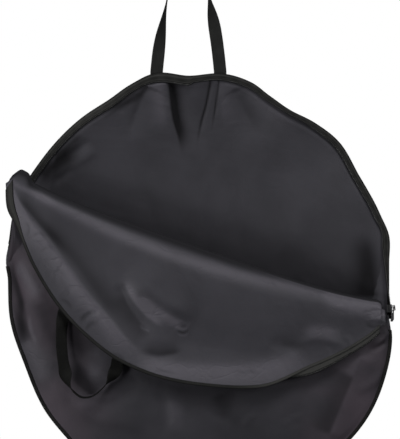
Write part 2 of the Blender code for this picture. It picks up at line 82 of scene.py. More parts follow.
PIXEL = 0.00198
PIXEL_CENTRE = (200.0, -26.0)
PICTURE_HEIGHT = 439
RIGHT = np.array((1.0, 0.0, 0.0))
TOWARDS = np.array((0.0, -1.0, 0.0))
UP = np.array((0.0, 0.0, 1.0))
JOIN = 1e-6
SHOWN_CLOTH = 0.0009
MILLIMETRE = 0.001


def smooth(t: Array | float) -> Array:
    """A soft step from 0 to 1, by the share of the step."""
    t = np.clip(t, 0.0, 1.0)
    return t * t * (3.0 - 2.0 * t)


def ramp(x: Array | float, start: float, width: float) -> Array:
    """A soft step from 0 to 1, from a start over a width."""
    return smooth((x - start) / width)


def unit(v: Array) -> Array:
    """The directions of the vectors in the last axis."""
    return v / np.maximum(np.linalg.norm(v, axis=-1, keepdims=True), 1e-12)


def lerp(a: Array, b: Array, t: Array | float) -> Array:
    """A mix of two arrays of places, by shares without the last axis."""
    t = np.asarray(t)[..., None]
    return a * (1.0 - t) + b * t


def hermite(a: Array, b: Array, slope_a: Array, slope_b: Array, t: Array) -> Array:
    """A cubic from a at t 0 to b at t 1, whose slopes there are those over the whole stretch."""
    start = a * (2 * t**3 - 3 * t**2 + 1) + slope_a * (t**3 - 2 * t**2 + t)
    return start + b * (3 * t**2 - 2 * t**3) + slope_b * (t**3 - t**2)


def through(knots: Sequence[Pair], x: Array | float) -> Array:
    """A smooth curve's values.

    Args:
        knots: Its known places and values, by rising place.
        x: The places.

    Returns:
        The values there.
    """
    a, v = np.array(knots, float).T
    slopes = np.gradient(v, a)
    i = np.clip(np.searchsorted(a, x, side="right") - 1, 0, len(a) - 2)
    span = a[i + 1] - a[i]
    t = np.clip((np.asarray(x) - a[i]) / span, 0, 1)
    return hermite(v[i], v[i + 1], slopes[i] * span, slopes[i + 1] * span, t)


def along_run(points: Array, t: Array | float) -> Array:
    """Places on a smooth open curve through the points.

    Args:
        points: The points, one a row.
        t: Shares of the chords' whole length.

    Returns:
        One place for each share.
    """
    points = np.asarray(points, float)
    t = np.asarray(t, float)
    lengths = np.linalg.norm(np.diff(points, axis=0), axis=1)
    starts = run_lengths(points)
    goal = t * starts[-1]
    i = np.clip(np.searchsorted(starts, goal, side="right") - 1, 0, len(lengths) - 1)
    padded = np.vstack((2 * points[0] - points[1], points, 2 * points[-1] - points[-2]))
    p0, p1, p2, p3 = (padded[i + k] for k in range(4))
    here = lengths[i][..., None]
    before = np.linalg.norm(p1 - p0, axis=-1, keepdims=True)
    after = np.linalg.norm(p3 - p2, axis=-1, keepdims=True)
    slope_1 = (p2 - p0) * (here / (before + here))
    slope_2 = (p3 - p1) * (here / (here + after))
    share = ((goal - starts[i]) / lengths[i])[..., None]
    return hermite(p1, p2, slope_1, slope_2, share)


def pixel_of(places: Array) -> tuple[Array, Array]:
    """The photograph's pixel columns and rows of places, seen square on."""
    return places[..., 0] / PIXEL + PIXEL_CENTRE[0], -places[..., 2] / PIXEL + PIXEL_CENTRE[1]


def normals_of(grid: Array) -> Array:
    """The unit normals of a grid of places, by differences along its rows and columns."""
    return unit(np.cross(np.gradient(grid, axis=1), np.gradient(grid, axis=0)))


def run_lengths(places: Array) -> Array:
    """The distance along a row of places to each of them."""
    return np.concatenate(([0.0], np.cumsum(np.linalg.norm(np.diff(places, axis=0), axis=1))))


def strip_uv(across: Array, along: Array) -> Array:
    """The UV places of a strip, from the distances across it and along it."""
    return np.stack(np.broadcast_arrays(across[:, None], along[None, :]), axis=-1)


class Side(Enum):
    """Which leg of a handle is meant."""

    LEFT = -1
    RIGHT = 1


@dataclass(frozen=True)
class BagOutline:
    """The bag's outline and surfaces, in its solids' numbers.

    Attributes:
        rim_shares: The edge's distance from the middle by angle in degrees, as a share of the radius.
        corners: Over how much of its length the fold is rounded at its left and right end.
        horn: How far the fold's left end stands up, at the place and over the width of horn_shares.
        hem_shares: Points of the hem, as shares of the fold's length along and down from it.
        free_part: The share of the pocket's edge that isn't sewn.
    """

    radius: float = 0.39
    cloth: float = 0.0012
    gap: float = 0.0004
    back_depth: float = 0.066
    flat_band: float = 0.022
    seam_band: float = 0.007
    edge_inset: float = 0.0012
    handle_rise: float = 0.200
    rim_shares: Knots = (
        (0, 0.96), (7.5, 0.9683), (15, 0.9939), (22, 0.986), (35, 0.986), (46, 1.0195), (55, 1.017),
        (63, 1.008), (70, 1.033), (76, 1.071), (84, 1.089), (93, 1.0735), (101.5, 1.1085), (109, 1.086),
        (116, 1.057), (125, 1.048), (142, 1.031), (155, 1.028), (166, 0.9985), (172, 0.998), (178, 0.975),
        (190, 0.978), (204, 0.974), (219, 1.007), (228, 1.021), (240, 1.055), (255, 1.079), (270, 1.093),
        (285, 1.098), (300, 1.093), (315, 1.088), (324, 1.075), (335, 1.043), (344.6, 1.011), (352.5, 0.9683),
    )
    fold_start_shares: Pair = (-0.944, 0.574)
    fold_end_shares: Pair = (0.924, -0.081)
    fold_depths: Pair = (0.045, 0.025)
    fold_roll: float = 0.006
    fold_roll_share: float = 0.9
    fold_sag: float = 0.021
    corners: Pair = (0.024, 0.018)
    horn: float = 0.0155
    horn_shares: Pair = (0.03, 0.02)
    flap_drape: float = 0.013
    flap_hem_lift: float = 0.01
    flap_side: float = 0.7
    pocket_bulge: float = 0.004
    pocket_steep: Pair = (2, 4)
    hem_shares: Knots = (
        (-0.006, 0.029), (0.019, 0.086), (0.056, 0.122), (0.131, 0.205), (0.226, 0.28), (0.326, 0.33),
        (0.42, 0.357), (0.539, 0.361), (0.69, 0.331), (0.783, 0.296), (0.867, 0.24), (0.943, 0.172),
        (0.995, 0.111), (1.021, 0.068),
    )
    zip_angles: Pair = (-9.5, 168.5)
    seam_angles: Pair = (172.7, 348.5)
    tape_width: float = 0.0105
    tape_thickness: float = 0.0008
    coil: float = 0.0036
    coil_inset: float = 0.0124
    coil_lift: float = 0.003
    turned_share: float = 0.72
    unturned_share: float = 0.84
    free_edge_shares: Knots = ((-0.959, 0.523), (-0.929, 0.315), (-0.982, 0.127))
    free_part: float = 0.127
    run_start_shares: Pair = (0.9672, -0.135)
    run_end_shares: Pair = (0.928, 0.195)
    run_start_lift: float = 0.0105
    run_settle_angle: float = 22.0

    def rim(self, degrees: Array | float) -> Array:
        """The disc's edge radius at angles in degrees from +X.

        Args:
            degrees: The angles.

        Returns:
            The radii.
        """
        angles, radii = np.array(self.rim_shares).T
        a = np.concatenate((angles[-1:] - 360, angles, angles[:2] + 360))
        r = np.concatenate((radii[-1:], radii, radii[:2]))
        degrees = np.asarray(degrees, float) % 360
        i = np.searchsorted(a, degrees, side="right") - 1
        span = a[i + 1] - a[i]
        slope_1 = (r[i + 1] - r[i - 1]) / (a[i + 1] - a[i - 1]) * span
        slope_2 = (r[i + 2] - r[i]) / (a[i + 2] - a[i]) * span
        return self.radius * hermite(r[i], r[i + 1], slope_1, slope_2, (degrees - a[i]) / span)

    @cached_property
    def middle(self) -> Array:
        """The disc's middle."""
        return np.array((0.0, 0.0, -(self.handle_rise + float(self.rim(90.0)))))

    def polar(self, degrees: Array, r: Array, y: Array | float) -> Array:
        """Places by angle and distance from the disc's middle, at a depth."""
        a = np.radians(degrees)
        return np.stack(np.broadcast_arrays(r * np.cos(a), y, r * np.sin(a)), axis=-1) + self.middle

    def rim_place(self, degrees: Array | float, inset: float = 0.0, y: Array | float = 0.0) -> Array:
        """Places on the disc's edge, moved inwards by the inset."""
        degrees = np.asarray(degrees, float)
        return self.polar(degrees, self.rim(degrees) - inset, y)

    def disc_place(self, shares: Sequence[float], y: float = 0.0) -> Array:
        """A place given as shares of the disc's radius from its middle."""
        return self.middle + np.array((shares[0] * self.radius, y, shares[1] * self.radius))

    def back(self, degrees: Array, share: Array) -> Array:
        """The middle of the back cloth.

        Args:
            degrees: Angles from +X.
            share: 0 at the disc's middle, 1 where its flat edge band begins, 2 at its edge.

        Returns:
            The places.
        """
        inner = np.minimum(1.0, share)
        r = (self.rim(degrees) - self.flat_band) * inner
        r = r + (self.flat_band - self.edge_inset) * (np.maximum(1.0, share) - 1.0)
        return self.polar(degrees, r, self.back_level(inner))

    def back_level(self, share: Array) -> Array:
        """How deep the back cloth bulges at shares of the way out to its flat edge band."""
        return (self.cloth + self.gap) / 2 + self.back_depth * (1 - share**4)

    def from_middle(self, x: Array, z: Array) -> tuple[Array, Array]:
        """Places' distances from the disc's middle, and the edge's distance in their directions."""
        dx, dz = x - self.middle[0], z - self.middle[2]
        return np.hypot(dx, dz), self.rim(np.degrees(np.arctan2(dz, dx)))

    def back_y(self, x: Array, z: Array) -> Array:
        """The depth of the back cloth's middle at places across the disc."""
        r, rim = self.from_middle(x, z)
        return self.back_level(np.minimum(1, r / (rim - self.flat_band)))

    @cached_property
    def fold_start(self) -> Array:
        """The fold's left end."""
        return self.disc_place(self.fold_start_shares, -self.fold_depths[0])

    @cached_property
    def fold_frame(self) -> tuple[Array, Array, Array, float]:
        """The fold's directions along, down and out, and its length.

        Returns:
            The three directions and the length.
        """
        run = self.disc_place(self.fold_end_shares, -self.fold_depths[1]) - self.fold_start
        length = float(np.linalg.norm(run))
        along = run / length
        out = unit(TOWARDS - along * TOWARDS.dot(along))
        down = np.cross(along, out)
        return along, down if down[2] < 0 else -down, out, length

    def fold_place(self, u: Array, v: Array, w: Array) -> Array:
        """Places by shares of the fold's length along and down from it, and a height out of its plane."""
        ways, length = np.stack(self.fold_frame[:3]), self.fold_frame[3]
        return self.fold_start + np.stack(np.broadcast_arrays(u * length, v * length, w), axis=-1) @ ways

    def fold_shares(self, place: Array) -> tuple[Array, Array]:
        """A place's shares of the fold's length along and down from it."""
        along, down, _, length = self.fold_frame
        return tuple(np.array((place - self.fold_start).dot(way) / length) for way in (along, down))

    def sag(self, s: Array) -> Array:
        """How far the fold hangs under its ends, as a share of its length."""
        return self.fold_sag / self.fold_frame[3] * (1 - (2 * s - 1) ** 4)

    def crease(self, s: Array) -> Array:
        """The fold's line with its rounded corners, as a share down from its straight chord.

        Args:
            s: Shares along the fold.

        Returns:
            Shares of its length, downwards.
        """
        left = np.clip(1 - s / self.corners[0], 0, 1)
        right = np.clip(1 - (1 - s) / self.corners[1], 0, 1)
        rounded = sum(corner * (1 - np.sqrt(1 - k**2)) for corner, k in zip(self.corners, (left, right)))
        place, width = self.horn_shares
        horn = self.horn * np.exp(-(((s - place) / width) ** 4))
        return self.sag(s) + self.fold_roll_share * rounded - horn

    def turned(self, s: Array) -> Array:
        """1 where the flap's zip tape is turned under, 0 where it lies open."""
        return 1 - ramp(s, self.turned_share, self.unturned_share - self.turned_share)

    def hem(self, s: Array) -> Array:
        """Where the flap's cloth ends, as shares along and down.

        Args:
            s: Shares along the fold.

        Returns:
            A pair of shares of the fold's length for each.
        """
        end = along_run(np.array(self.hem_shares), s)
        top = np.stack((s, self.sag(s)), axis=-1)
        shown = (self.tape_width + self.coil) / self.fold_frame[3]
        return end + unit(top - end) * (shown * (1 - self.turned(s)))[..., None]

    def flap_height(self, s: Array, t: Array) -> Array:
        """How far the flap stands out of the fold's plane."""
        across = np.sin(np.pi * np.clip(s, 0, 1)) ** self.flap_side
        return self.fold_roll + across * (self.flap_hem_lift * t + self.flap_drape * 4 * t * (1 - t))

    def flap(self, s: Array, t: Array) -> Array:
        """The middle of the flap's cloth, from the fold at t 0 to the hem at t 1."""
        place = lerp(np.stack((s, self.crease(s)), axis=-1), self.hem(s), t)
        return self.fold_place(place[..., 0], place[..., 1], self.flap_height(s, t))

    def pocket_edge(self, s: Array, inset: float) -> Array:
        """The pocket's outer edge, from the fold's left end round to its right end.

        Args:
            s: Shares of the way round.
            inset: How far inside the edge the places lie.

        Returns:
            The places.
        """
        y = -(self.cloth + self.gap) / 2
        t = np.clip(s / self.free_part, 0, 1)
        a, b, c = (self.disc_place(shares) for shares in self.free_edge_shares)
        t3 = t[..., None]
        free = a * (1 - t3) ** 2 + b * (2 * t3 * (1 - t3)) + c * t3**2
        free = free + unit(self.middle - free) * inset
        free[..., 1] = (self.fold_roll - self.fold_depths[0]) * (1 - t**4) + y * t**4
        t = np.clip((s - self.free_part) / (1 - self.free_part), 0, 1)
        low, high = self.seam_angles
        sewn = self.rim_place(low + t * (high - low), inset, y)
        return np.where((s < self.free_part)[..., None], free, sewn)

    def pocket(self, s: Array, t: Array) -> Array:
        """The middle of the pocket's cloth, from the fold at t 0 to its flat sewn band at t 1.

        Args:
            s: Shares along the fold and round the edge.
            t: Shares down.

        Returns:
            The places.
        """
        s, t = np.broadcast_arrays(np.asarray(s, float), np.asarray(t, float))
        top = self.fold_place(s, self.crease(s), np.full_like(s, -self.fold_roll))
        edge = self.pocket_edge(s, self.seam_band)
        steep = self.pocket_steep[0] + self.pocket_steep[1] * np.sin(np.pi * s)
        place = lerp(top, edge, t)
        bulge = self.pocket_bulge * np.sin(np.pi * s) * 4 * t * (1 - t)
        place[..., 1] = top[..., 1] * (1 - t**steep) + edge[..., 1] * t**steep - bulge
        return place

    def coil_place(self, degrees: Array) -> Array:
        """The middle of the back's coil: straight where the slider runs, then at one distance from the rim.

        Args:
            degrees: Angles from +X.

        Returns:
            The places.
        """
        start = self.disc_place(self.run_start_shares, -self.run_start_lift)
        end = self.disc_place(self.run_end_shares, -self.coil_lift)
        along = unit(end - start)
        level = self.middle[2] + self.rim(degrees) * np.sin(np.radians(degrees))
        straight = start + along * ((level - start[2]) / along[2])[..., None]
        on_rim = self.rim_place(degrees, self.coil_inset, -self.coil_lift)
        end_angle = math.degrees(math.atan2(end[2] - self.middle[2], end[0]))
        settle = ramp(degrees, end_angle, self.run_settle_angle - end_angle)
        bent = on_rim.copy()
        bent[..., 0], bent[..., 1] = end[0], end[1]
        settled = lerp(on_rim, bent, (1 - settle) * (degrees < self.run_settle_angle))
        return np.where((level < end[2])[..., None], straight, settled)


BAG = BagOutline()


@dataclass(frozen=True)
class Fold:
    """A ridge or valley in the cloth along a run of the photograph's pixels.

    Attributes:
        run: The fold's middle line, as each point's pixel column and row in turn.
        lift: Its height in millimetres towards the viewer, less than 0 for a valley; in the lists of painted
            light and shade, their strength in thousandths instead, less than 0 for painted shade.
        near: Its width in pixels on the run's left, looking along it on the page.
        far: The same on the right.
        ends: Over what shares of its length it dies out at its start and end.
        crisp: The rounding of its line in pixels for a creased fold, or 0 for a soft one.
    """

    run: tuple[int, ...]
    lift: float
    near: float
    far: float
    ends: Pair = (0.3, 0.3)
    crisp: float = 0.0

    def height(self, px: Array, py: Array) -> Array:
        """The fold's height in metres at pixel columns and rows.

        Args:
            px: Pixel columns.
            py: Pixel rows.

        Returns:
            The heights.
        """
        line = along_run(np.array(self.run).reshape(-1, 2), np.linspace(0, 1, 2 * len(self.run)))
        best = np.full(px.shape, np.inf)
        side = np.zeros(px.shape)
        where = np.zeros(px.shape)
        steps = np.linalg.norm(np.diff(line, axis=0), axis=1)
        starts = run_lengths(line)
        for a, b, start, step in zip(line, line[1:], starts, steps):
            d = (b - a) / step
            x, y = px - a[0], py - a[1]
            t = np.clip(x * d[0] + y * d[1], 0, step)
            off = np.hypot(x - d[0] * t, y - d[1] * t)
            nearer = off < best
            best = np.where(nearer, off, best)
            side = np.where(nearer, d[0] * y - d[1] * x, side)
            where = np.where(nearer, start + t, where)
        share = where / starts[-1]
        taper = smooth(share / max(self.ends[0], 1e-6)) * smooth((1 - share) / max(self.ends[1], 1e-6))
        width = np.where(side < 0, self.near, self.far)
        if self.crisp:
            fall = (np.hypot(best, self.crisp) - self.crisp) / width
        else:
            fall = (best / width) ** 2
        return self.lift * MILLIMETRE * taper * np.exp(-fall)


def total_height(folds: Sequence[Fold], px: Array, py: Array) -> Array:
    """The folds' heights together, in metres, at pixel columns and rows."""
    return sum((fold.height(px, py) for fold in folds), np.zeros(np.shape(px)))


@dataclass(frozen=True)
class Crumple:
    """Soft random creases of cloth that has been handled.

    Attributes:
        cell: The size of the largest creases in metres.
        lift: Their height in metres.
        stretch: How much longer the creases are than wide.
        lean: The creases' direction in degrees.
        warp: How far the pattern is bent, and at what scale.
        layers: The scale and the share of each layer of creases.
        soft: How round their ridges are.
    """

    seed: int
    cell: float = 0.045
    lift: float = 0.0012
    stretch: float = 1.8
    lean: float = 60.0
    warp: Pair = (0.7, 0.6)
    layers: tuple[Pair, ...] = ((1.0, 0.55), (2.1, 0.3), (4.3, 0.15))
    soft: float = 0.006

    def noise(self, a: Array, b: Array, layer: int) -> Array:
        """Smooth random values from -1 to 1 over a plane of unit cells.

        Args:
            a: First places.
            b: Second places.
            layer: Which of the random tables.

        Returns:
            The values.
        """
        table = np.random.default_rng(self.seed * 31 + layer).uniform(-1, 1, (64, 64))
        i, k = np.floor(a).astype(int), np.floor(b).astype(int)
        fa, fb = a - i, b - k
        fa, fb = (f**3 * (f * (f * 6 - 15) + 10) for f in (fa, fb))
        low = table[i % 64, k % 64] * (1 - fa) + table[(i + 1) % 64, k % 64] * fa
        high = table[i % 64, (k + 1) % 64] * (1 - fa) + table[(i + 1) % 64, (k + 1) % 64] * fa
        return low * (1 - fb) + high * fb

    def height(self, x: Array, z: Array) -> Array:
        """The creases' height in metres at places across the cloth.

        Args:
            x: The places' X.
            z: Their Z.

        Returns:
            The heights.
        """
        lean = math.radians(self.lean)
        a = (x * math.cos(lean) + z * math.sin(lean)) / self.cell
        b = (z * math.cos(lean) - x * math.sin(lean)) / (self.cell * self.stretch)
        far, scale = self.warp
        a, b = (k + far * self.noise(a * scale, b * scale, layer) for k, layer in ((a, 9), (b, 10)))
        total = np.zeros_like(x)
        for layer, (scale, share) in enumerate(self.layers):
            n = self.noise(a * scale, b * scale, layer)
            total = total + share * (1 - 2 * np.sqrt(n * n + self.soft))
        return self.lift * total


def maths(operation: str, reflected: bool = False) -> Callable[..., Signal]:
    """Makes a method of Signal from a Math node.

    Args:
        operation: The node's operation.
        reflected: Whether the other value comes first.

    Returns:
        The method.
    """

    def method(self: Signal, other: Signal | float = 0.0) -> Signal:
        """The operation on this signal and another value."""
        pair = (other, self) if reflected else (self, other)
        return self.graph.node("ShaderNodeMath", dict(enumerate(pair)), operation=operation)

    return method


class Signal:
    """A value, vector or colour between nodes that works in Python sums."""

    __add__ = __radd__ = maths("ADD")
    __mul__ = __rmul__ = maths("MULTIPLY")
    __sub__, __rsub__ = maths("SUBTRACT"), maths("SUBTRACT", True)
    __truediv__, __rtruediv__ = maths("DIVIDE"), maths("DIVIDE", True)
    __pow__, __rpow__ = maths("POWER"), maths("POWER", True)
    sine, size, part = maths("SINE"), maths("ABSOLUTE"), maths("FRACT")

    def __init__(self, graph: Graph, socket: bpy.types.NodeSocket) -> None:
        """Keeps the graph and the socket that gives the value."""
        self.graph = graph
        self.socket = socket

    def step(self, low: float, high: float) -> Signal:
        """A soft step from 0 at low to 1 at high."""
        values = {"Value": self, "From Min": low, "From Max": high}
        return self.graph.node("ShaderNodeMapRange", values, interpolation_type="SMOOTHSTEP")

    def kept(self, low: float, high: float) -> Signal:
        """The value, kept between two limits."""
        return self.graph.node("ShaderNodeClamp", {0: self, 1: low, 2: high})


class Graph:
    """A tree of nodes, made from Python."""

    def __init__(self, tree: bpy.types.NodeTree) -> None:
        """Starts with an empty tree."""
        self.tree = tree
        tree.nodes.clear()

    def node(self, kind: str, values: dict | None = None, out: int | str = 0, **settings: str) -> Signal:
        """Adds a node.

        Args:
            kind: Its Blender type.
            values: Numbers, tuples or signals for its sockets, by name or number.
            out: Which output to give back.
            settings: Its properties.

        Returns:
            The chosen output.
        """
        made = self.tree.nodes.new(kind)
        for key, value in settings.items():
            setattr(made, key, value)
        for key, value in (values or {}).items():
            if isinstance(value, Signal):
                self.tree.links.new(value.socket, made.inputs[key])
            else:
                made.inputs[key].default_value = value
        return Signal(self, made.outputs[out])

    def seen(self, others: Signal, camera: Signal) -> Signal:
        """A shader for the camera and one for all other rays."""
        ray = self.node("ShaderNodeLightPath", out="Is Camera Ray")
        return self.node("ShaderNodeMixShader", {0: ray, 1: others, 2: camera})

    def end(self, kind: str, socket: str, value: Signal) -> None:
        """Ends the tree in an output node."""
        self.tree.links.new(value.socket, self.tree.nodes.new(kind).inputs[socket])


class MaterialGraph(Graph):
    """A material's nodes."""

    def __init__(self, name: str) -> None:
        """Starts an empty material.

        Args:
            name: Its name.
        """
        self.material = bpy.data.materials.new(name)
        self.material.use_nodes = True
        super().__init__(self.material.node_tree)

    def mix(self, share: Signal | float, a: Signal | tuple, b: Signal | tuple) -> Signal:
        """A mix of two colours."""
        colours = [c if isinstance(c, Signal) else (*c, 1.0) for c in (a, b)]
        return self.node("ShaderNodeMix", {0: share, 6: colours[0], 7: colours[1]}, 2, data_type="RGBA")

    def parts(self, vector: Signal) -> tuple[Signal, Signal, Signal]:
        """A vector's three parts."""
        first = self.node("ShaderNodeSeparateXYZ", {0: vector})
        return tuple(Signal(self, first.socket.node.outputs[i]) for i in range(3))

    def objects(self, *scale: float) -> Signal:
        """The place on the object, with its axes scaled."""
        place = self.node("ShaderNodeTexCoord", out="Object")
        return self.node("ShaderNodeMapping", {"Vector": place, "Scale": scale}) if scale else place

    def uv(self) -> Signal:
        """The piece's own UV map, in metres."""
        return self.node("ShaderNodeUVMap", uv_map="UVMap")

    def fade(self) -> Signal:
        """The light and shade painted into the piece's colour, from its own attribute."""
        return self.node("ShaderNodeAttribute", out="Fac", attribute_name="fade")

    def noise(self, scale: float, detail: float, place: Signal | None = None) -> Signal:
        """A noise texture on the object."""
        values = {"Vector": place or self.objects(), "Scale": scale, "Detail": detail}
        return self.node("ShaderNodeTexNoise", values)

    def bump(self, height: Signal, distance: float, strength: float, under: Signal | None = None) -> Signal:
        """The normal of a relief, given its depth in metres and its strength, on the normal under it."""
        values = {"Height": height, "Distance": distance, "Strength": strength}
        return self.node("ShaderNodeBump", values | ({"Normal": under} if under else {}))

    def finish(self, **sockets: Signal | float | tuple) -> bpy.types.Material:
        """Ends the material in a Principled shader.

        Args:
            sockets: The shader's inputs, with underscores for the spaces in their names.

        Returns:
            The material.
        """
        values = {key.replace("_", " "): value for key, value in sockets.items()}
        self.end("ShaderNodeOutputMaterial", "Surface", self.node("ShaderNodeBsdfPrincipled", values))
        return self.material


@dataclass(frozen=True)
class Finish:
    """What every finish has: the colours of its darker and lighter places, and its middle roughness."""

    name: str
    dark: Triple
    light: Triple
    rough: float


@dataclass(frozen=True)
class NylonFinish(Finish):
    """Thin woven nylon with a slight sheen.

    Attributes:
        side_sheen_start: How far from the bag's middle line the painted pink sheen on the sides begins and is
            full.
        pale_tone: The colour of its painted highlights.
        shade_colour: The colour of its painted shade, where it is darkest.
    """

    side_sheen_share: float = 0.0
    side_sheen: Triple = (0.068, 0.053, 0.065)
    side_sheen_start: Pair = (0.12, 0.33)
    thread: float = 0.0009
    thread_colour: Triple = (0.027, 0.026, 0.03)
    sheen: tuple[float, ...] = (0.96, 0.94, 1.0, 1.0)
    pale_tone: Triple = (0.08, 0.075, 0.088)
    shade_colour: Triple = (0.002, 0.002, 0.0023)
    weave_depth: float = 0.00012
    crease_depth: float = 0.003
    dent_depth: float = 0.0006
    line_depth: float = 0.0012

    def make(self) -> bpy.types.Material:
        """Builds the material: colours, roughness and relief.

        Returns:
            The material.
        """
        g = MaterialGraph(self.name)
        u, v, _ = g.parts(g.uv())
        turn = 2 * math.pi / self.thread
        weave = (u * turn).sine() * (v * turn).sine() * 0.5 + 0.5
        clouds, grain, fade = g.noise(9, 4), g.noise(420, 2), g.fade()
        colour = g.mix(clouds.step(0.35, 0.68), self.dark, self.light)
        # A painted pink sheen on the sides of the outside cloth, growing away from the bag's middle line and
        # broken up by noise.
        if self.side_sheen_share:
            x, _, _ = g.parts(g.objects())
            side = x.size().step(*self.side_sheen_start) * g.noise(6, 3).step(0.30, 0.60)
            colour = g.mix(side * self.side_sheen_share, colour, self.side_sheen)
        # Painted highlights towards pale_tone where the fade attribute is above 0, and painted shade towards
        # shade_colour where it is below 0.
        colour = g.mix(fade * (clouds * 0.6 + 0.6), colour, self.pale_tone)
        colour = g.mix(fade * -1, colour, self.shade_colour)
        colour = g.mix(weave * 0.15 + grain * 0.08, colour, self.thread_colour)
        # The roughness and the crease lines also follow the painted shading: rougher in painted shade, with
        # stronger crease lines at painted highlights.
        rough = clouds * 0.10 + grain * 0.06 + (self.rough - 0.08) + (fade * -0.45).kept(-0.08, 0.45)
        normal = g.bump(g.noise(26, 5, g.objects(1, 1, 0.6)), self.crease_depth, 0.35)
        normal = g.bump(g.noise(95, 3), self.dent_depth, 0.35, normal)
        lines = (g.noise(15, 3, g.objects(1, 1, 1.5)) - 0.5).size().step(0.0, 0.05)
        normal = g.bump(lines * (fade * 0.7 + 0.12).kept(0.05, 0.8), self.line_depth, 0.45, normal)
        normal = g.bump(weave, self.weave_depth, 0.6, normal)
        gloss = {"Specular_IOR_Level": 0.25, "Specular_Tint": self.sheen}
        return g.finish(Base_Color=colour, Roughness=rough, Normal=normal, **gloss)


@dataclass(frozen=True)
class RibbonFinish(Finish):
    """Woven tape or webbing with ribs along it and threads across.

    Attributes:
        rib: The ribs' pitch.
        pick: The cross threads' pitch.
    """

    rib: float
    pick: float
    depth: float
    # The colour of the painted highlights.
    pale_tone: Triple = (0.0375, 0.0374, 0.0352)
    fuzz_depth: float = 0.0006

    def make(self) -> bpy.types.Material:
        """Builds the material from its ribs and slanting threads.

        Returns:
            The material.
        """
        g = MaterialGraph(self.name)
        u, v, _ = g.parts(g.uv())
        rib = ((u / self.rib).part() - 0.5).size() * 2
        pick = ((v / self.pick + rib * 0.5).part() * math.pi).sine()
        threads = pick * (1 - rib**3 * 0.8)
        fuzz = g.noise(900, 2)
        colour = g.mix(threads * 0.75 + fuzz * 0.25, self.dark, self.light)
        colour = g.mix(g.noise(40, 4).step(0.45, 0.75) * 0.30, colour, tuple(1.5 * c for c in self.light))
        # Painted highlights, from the piece's fade attribute.
        colour = g.mix(g.fade() * (threads * 0.5 + 0.6), colour, self.pale_tone)
        normal = g.bump(threads, self.depth, 0.9, g.bump(g.noise(60, 3), self.fuzz_depth, 0.5))
        rough = fuzz * 0.10 + (self.rough - 0.05)
        return g.finish(Base_Color=colour, Roughness=rough, Normal=normal, Specular_IOR_Level=0.15)


@dataclass(frozen=True)
class MouldedFinish(Finish):
    """Black plastic of the zip's coils."""

    spot_depth: float = 0.00008

    def make(self) -> bpy.types.Material:
        """Builds the material, finely spotted.

        Returns:
            The material.
        """
        g = MaterialGraph(self.name)
        spots = g.noise(700, 3)
        colour = g.mix(g.noise(55, 3).step(0.35, 0.7), self.dark, self.light)
        normal = g.bump(spots, self.spot_depth, 0.5)
        return g.finish(Base_Color=colour, Roughness=spots * 0.12 + (self.rough - 0.05), Normal=normal)


@dataclass(frozen=True)
class MetalFinish(Finish):
    """Dark lacquered metal, rubbed lighter in places."""

    scratch_depth: float = 0.00004

    def make(self) -> bpy.types.Material:
        """Builds the material, with its rubbed places and scratches.

        Returns:
            The material.
        """
        g = MaterialGraph(self.name)
        rubbed = g.noise(240, 4).step(0.52, 0.72)
        scratches = g.noise(500, 3, g.objects(1, 1, 0.12))
        colour = g.mix(rubbed, self.dark, self.light)
        rough = scratches * 0.22 + (self.rough - 0.08)
        normal = g.bump(scratches, self.scratch_depth, 0.5)
        return g.finish(Base_Color=colour, Roughness=rough, Metallic=rubbed * 0.3 + 0.25, Normal=normal)


@dataclass(frozen=True)
class FloorFinish(Finish):
    """The plain pale floor, which the camera sees almost white apart from the bag's shadow."""

    glow: float = 0.45

    def make(self) -> bpy.types.Material:
        """Builds the material: lighter and glowing to the camera, dim to the bag.

        Returns:
            The material.
        """
        g = MaterialGraph(self.name)
        light, dim = (
            g.node("ShaderNodeBsdfPrincipled", {"Base Color": (*colour, 1.0), "Roughness": self.rough})
            for colour in (self.light, self.dark)
        )
        white = g.node("ShaderNodeEmission", {"Color": (1.0, 1.0, 1.0, 1.0), "Strength": self.glow})
        both = g.node("ShaderNodeAddShader", {0: light, 1: white})
        g.end("ShaderNodeOutputMaterial", "Surface", g.seen(dim, both))
        return g.material


class Finishes(Enum):
    """The finishes, by the part of the bag that has them."""

    INSIDE = NylonFinish("nylon_inside", (0.028, 0.0273, 0.0322), (0.037, 0.036, 0.0425), 0.60)
    FLAP = NylonFinish("nylon_flap", (0.0265, 0.0258, 0.0308), (0.034, 0.033, 0.0392), 0.56)
    # The last number sets how strong the painted pink sheen on its sides is.
    OUTSIDE = NylonFinish("nylon_outside", (0.017, 0.0166, 0.02), (0.023, 0.0223, 0.0268), 0.66, 0.75)
    TAPE = RibbonFinish(
        "zip_tape", (0.003, 0.0031, 0.003), (0.0105, 0.0105, 0.0099), 0.82, 0.0016, 0.0011, 0.0002)
    BINDING = RibbonFinish(
        "binding_tape", (0.004, 0.004, 0.004), (0.01, 0.01, 0.0092), 0.82, 0.0014, 0.001, 0.0002)
    WEBBING = RibbonFinish(
        "handle_webbing", (0.0038, 0.0039, 0.0036), (0.0195, 0.0197, 0.0188), 0.82, 0.0031, 0.0018, 0.0005)
    # A darker copy of the handle webbing: painted shade on the front handle, which hangs in the flap's shade.
    SHADED_WEBBING = RibbonFinish(
        "shaded_front_webbing", (0.0024, 0.0025, 0.0023), (0.007, 0.007, 0.0064), 0.82,
        0.0031, 0.0018, 0.0005)
    THREAD = RibbonFinish(
        "sewing_thread", (0.0055, 0.0056, 0.0048), (0.03, 0.03, 0.028), 0.82, 0.0008, 0.0006, 0.0001)
    COIL = MouldedFinish("coil_plastic", (0.006, 0.006, 0.006), (0.014, 0.014, 0.013), 0.42)
    METAL = MetalFinish("zip_metal", (0.06, 0.06, 0.063), (0.11, 0.11, 0.114), 0.66)
    FLOOR = FloorFinish("pale_floor", (0.10, 0.10, 0.10), (0.80, 0.80, 0.80), 0.9)


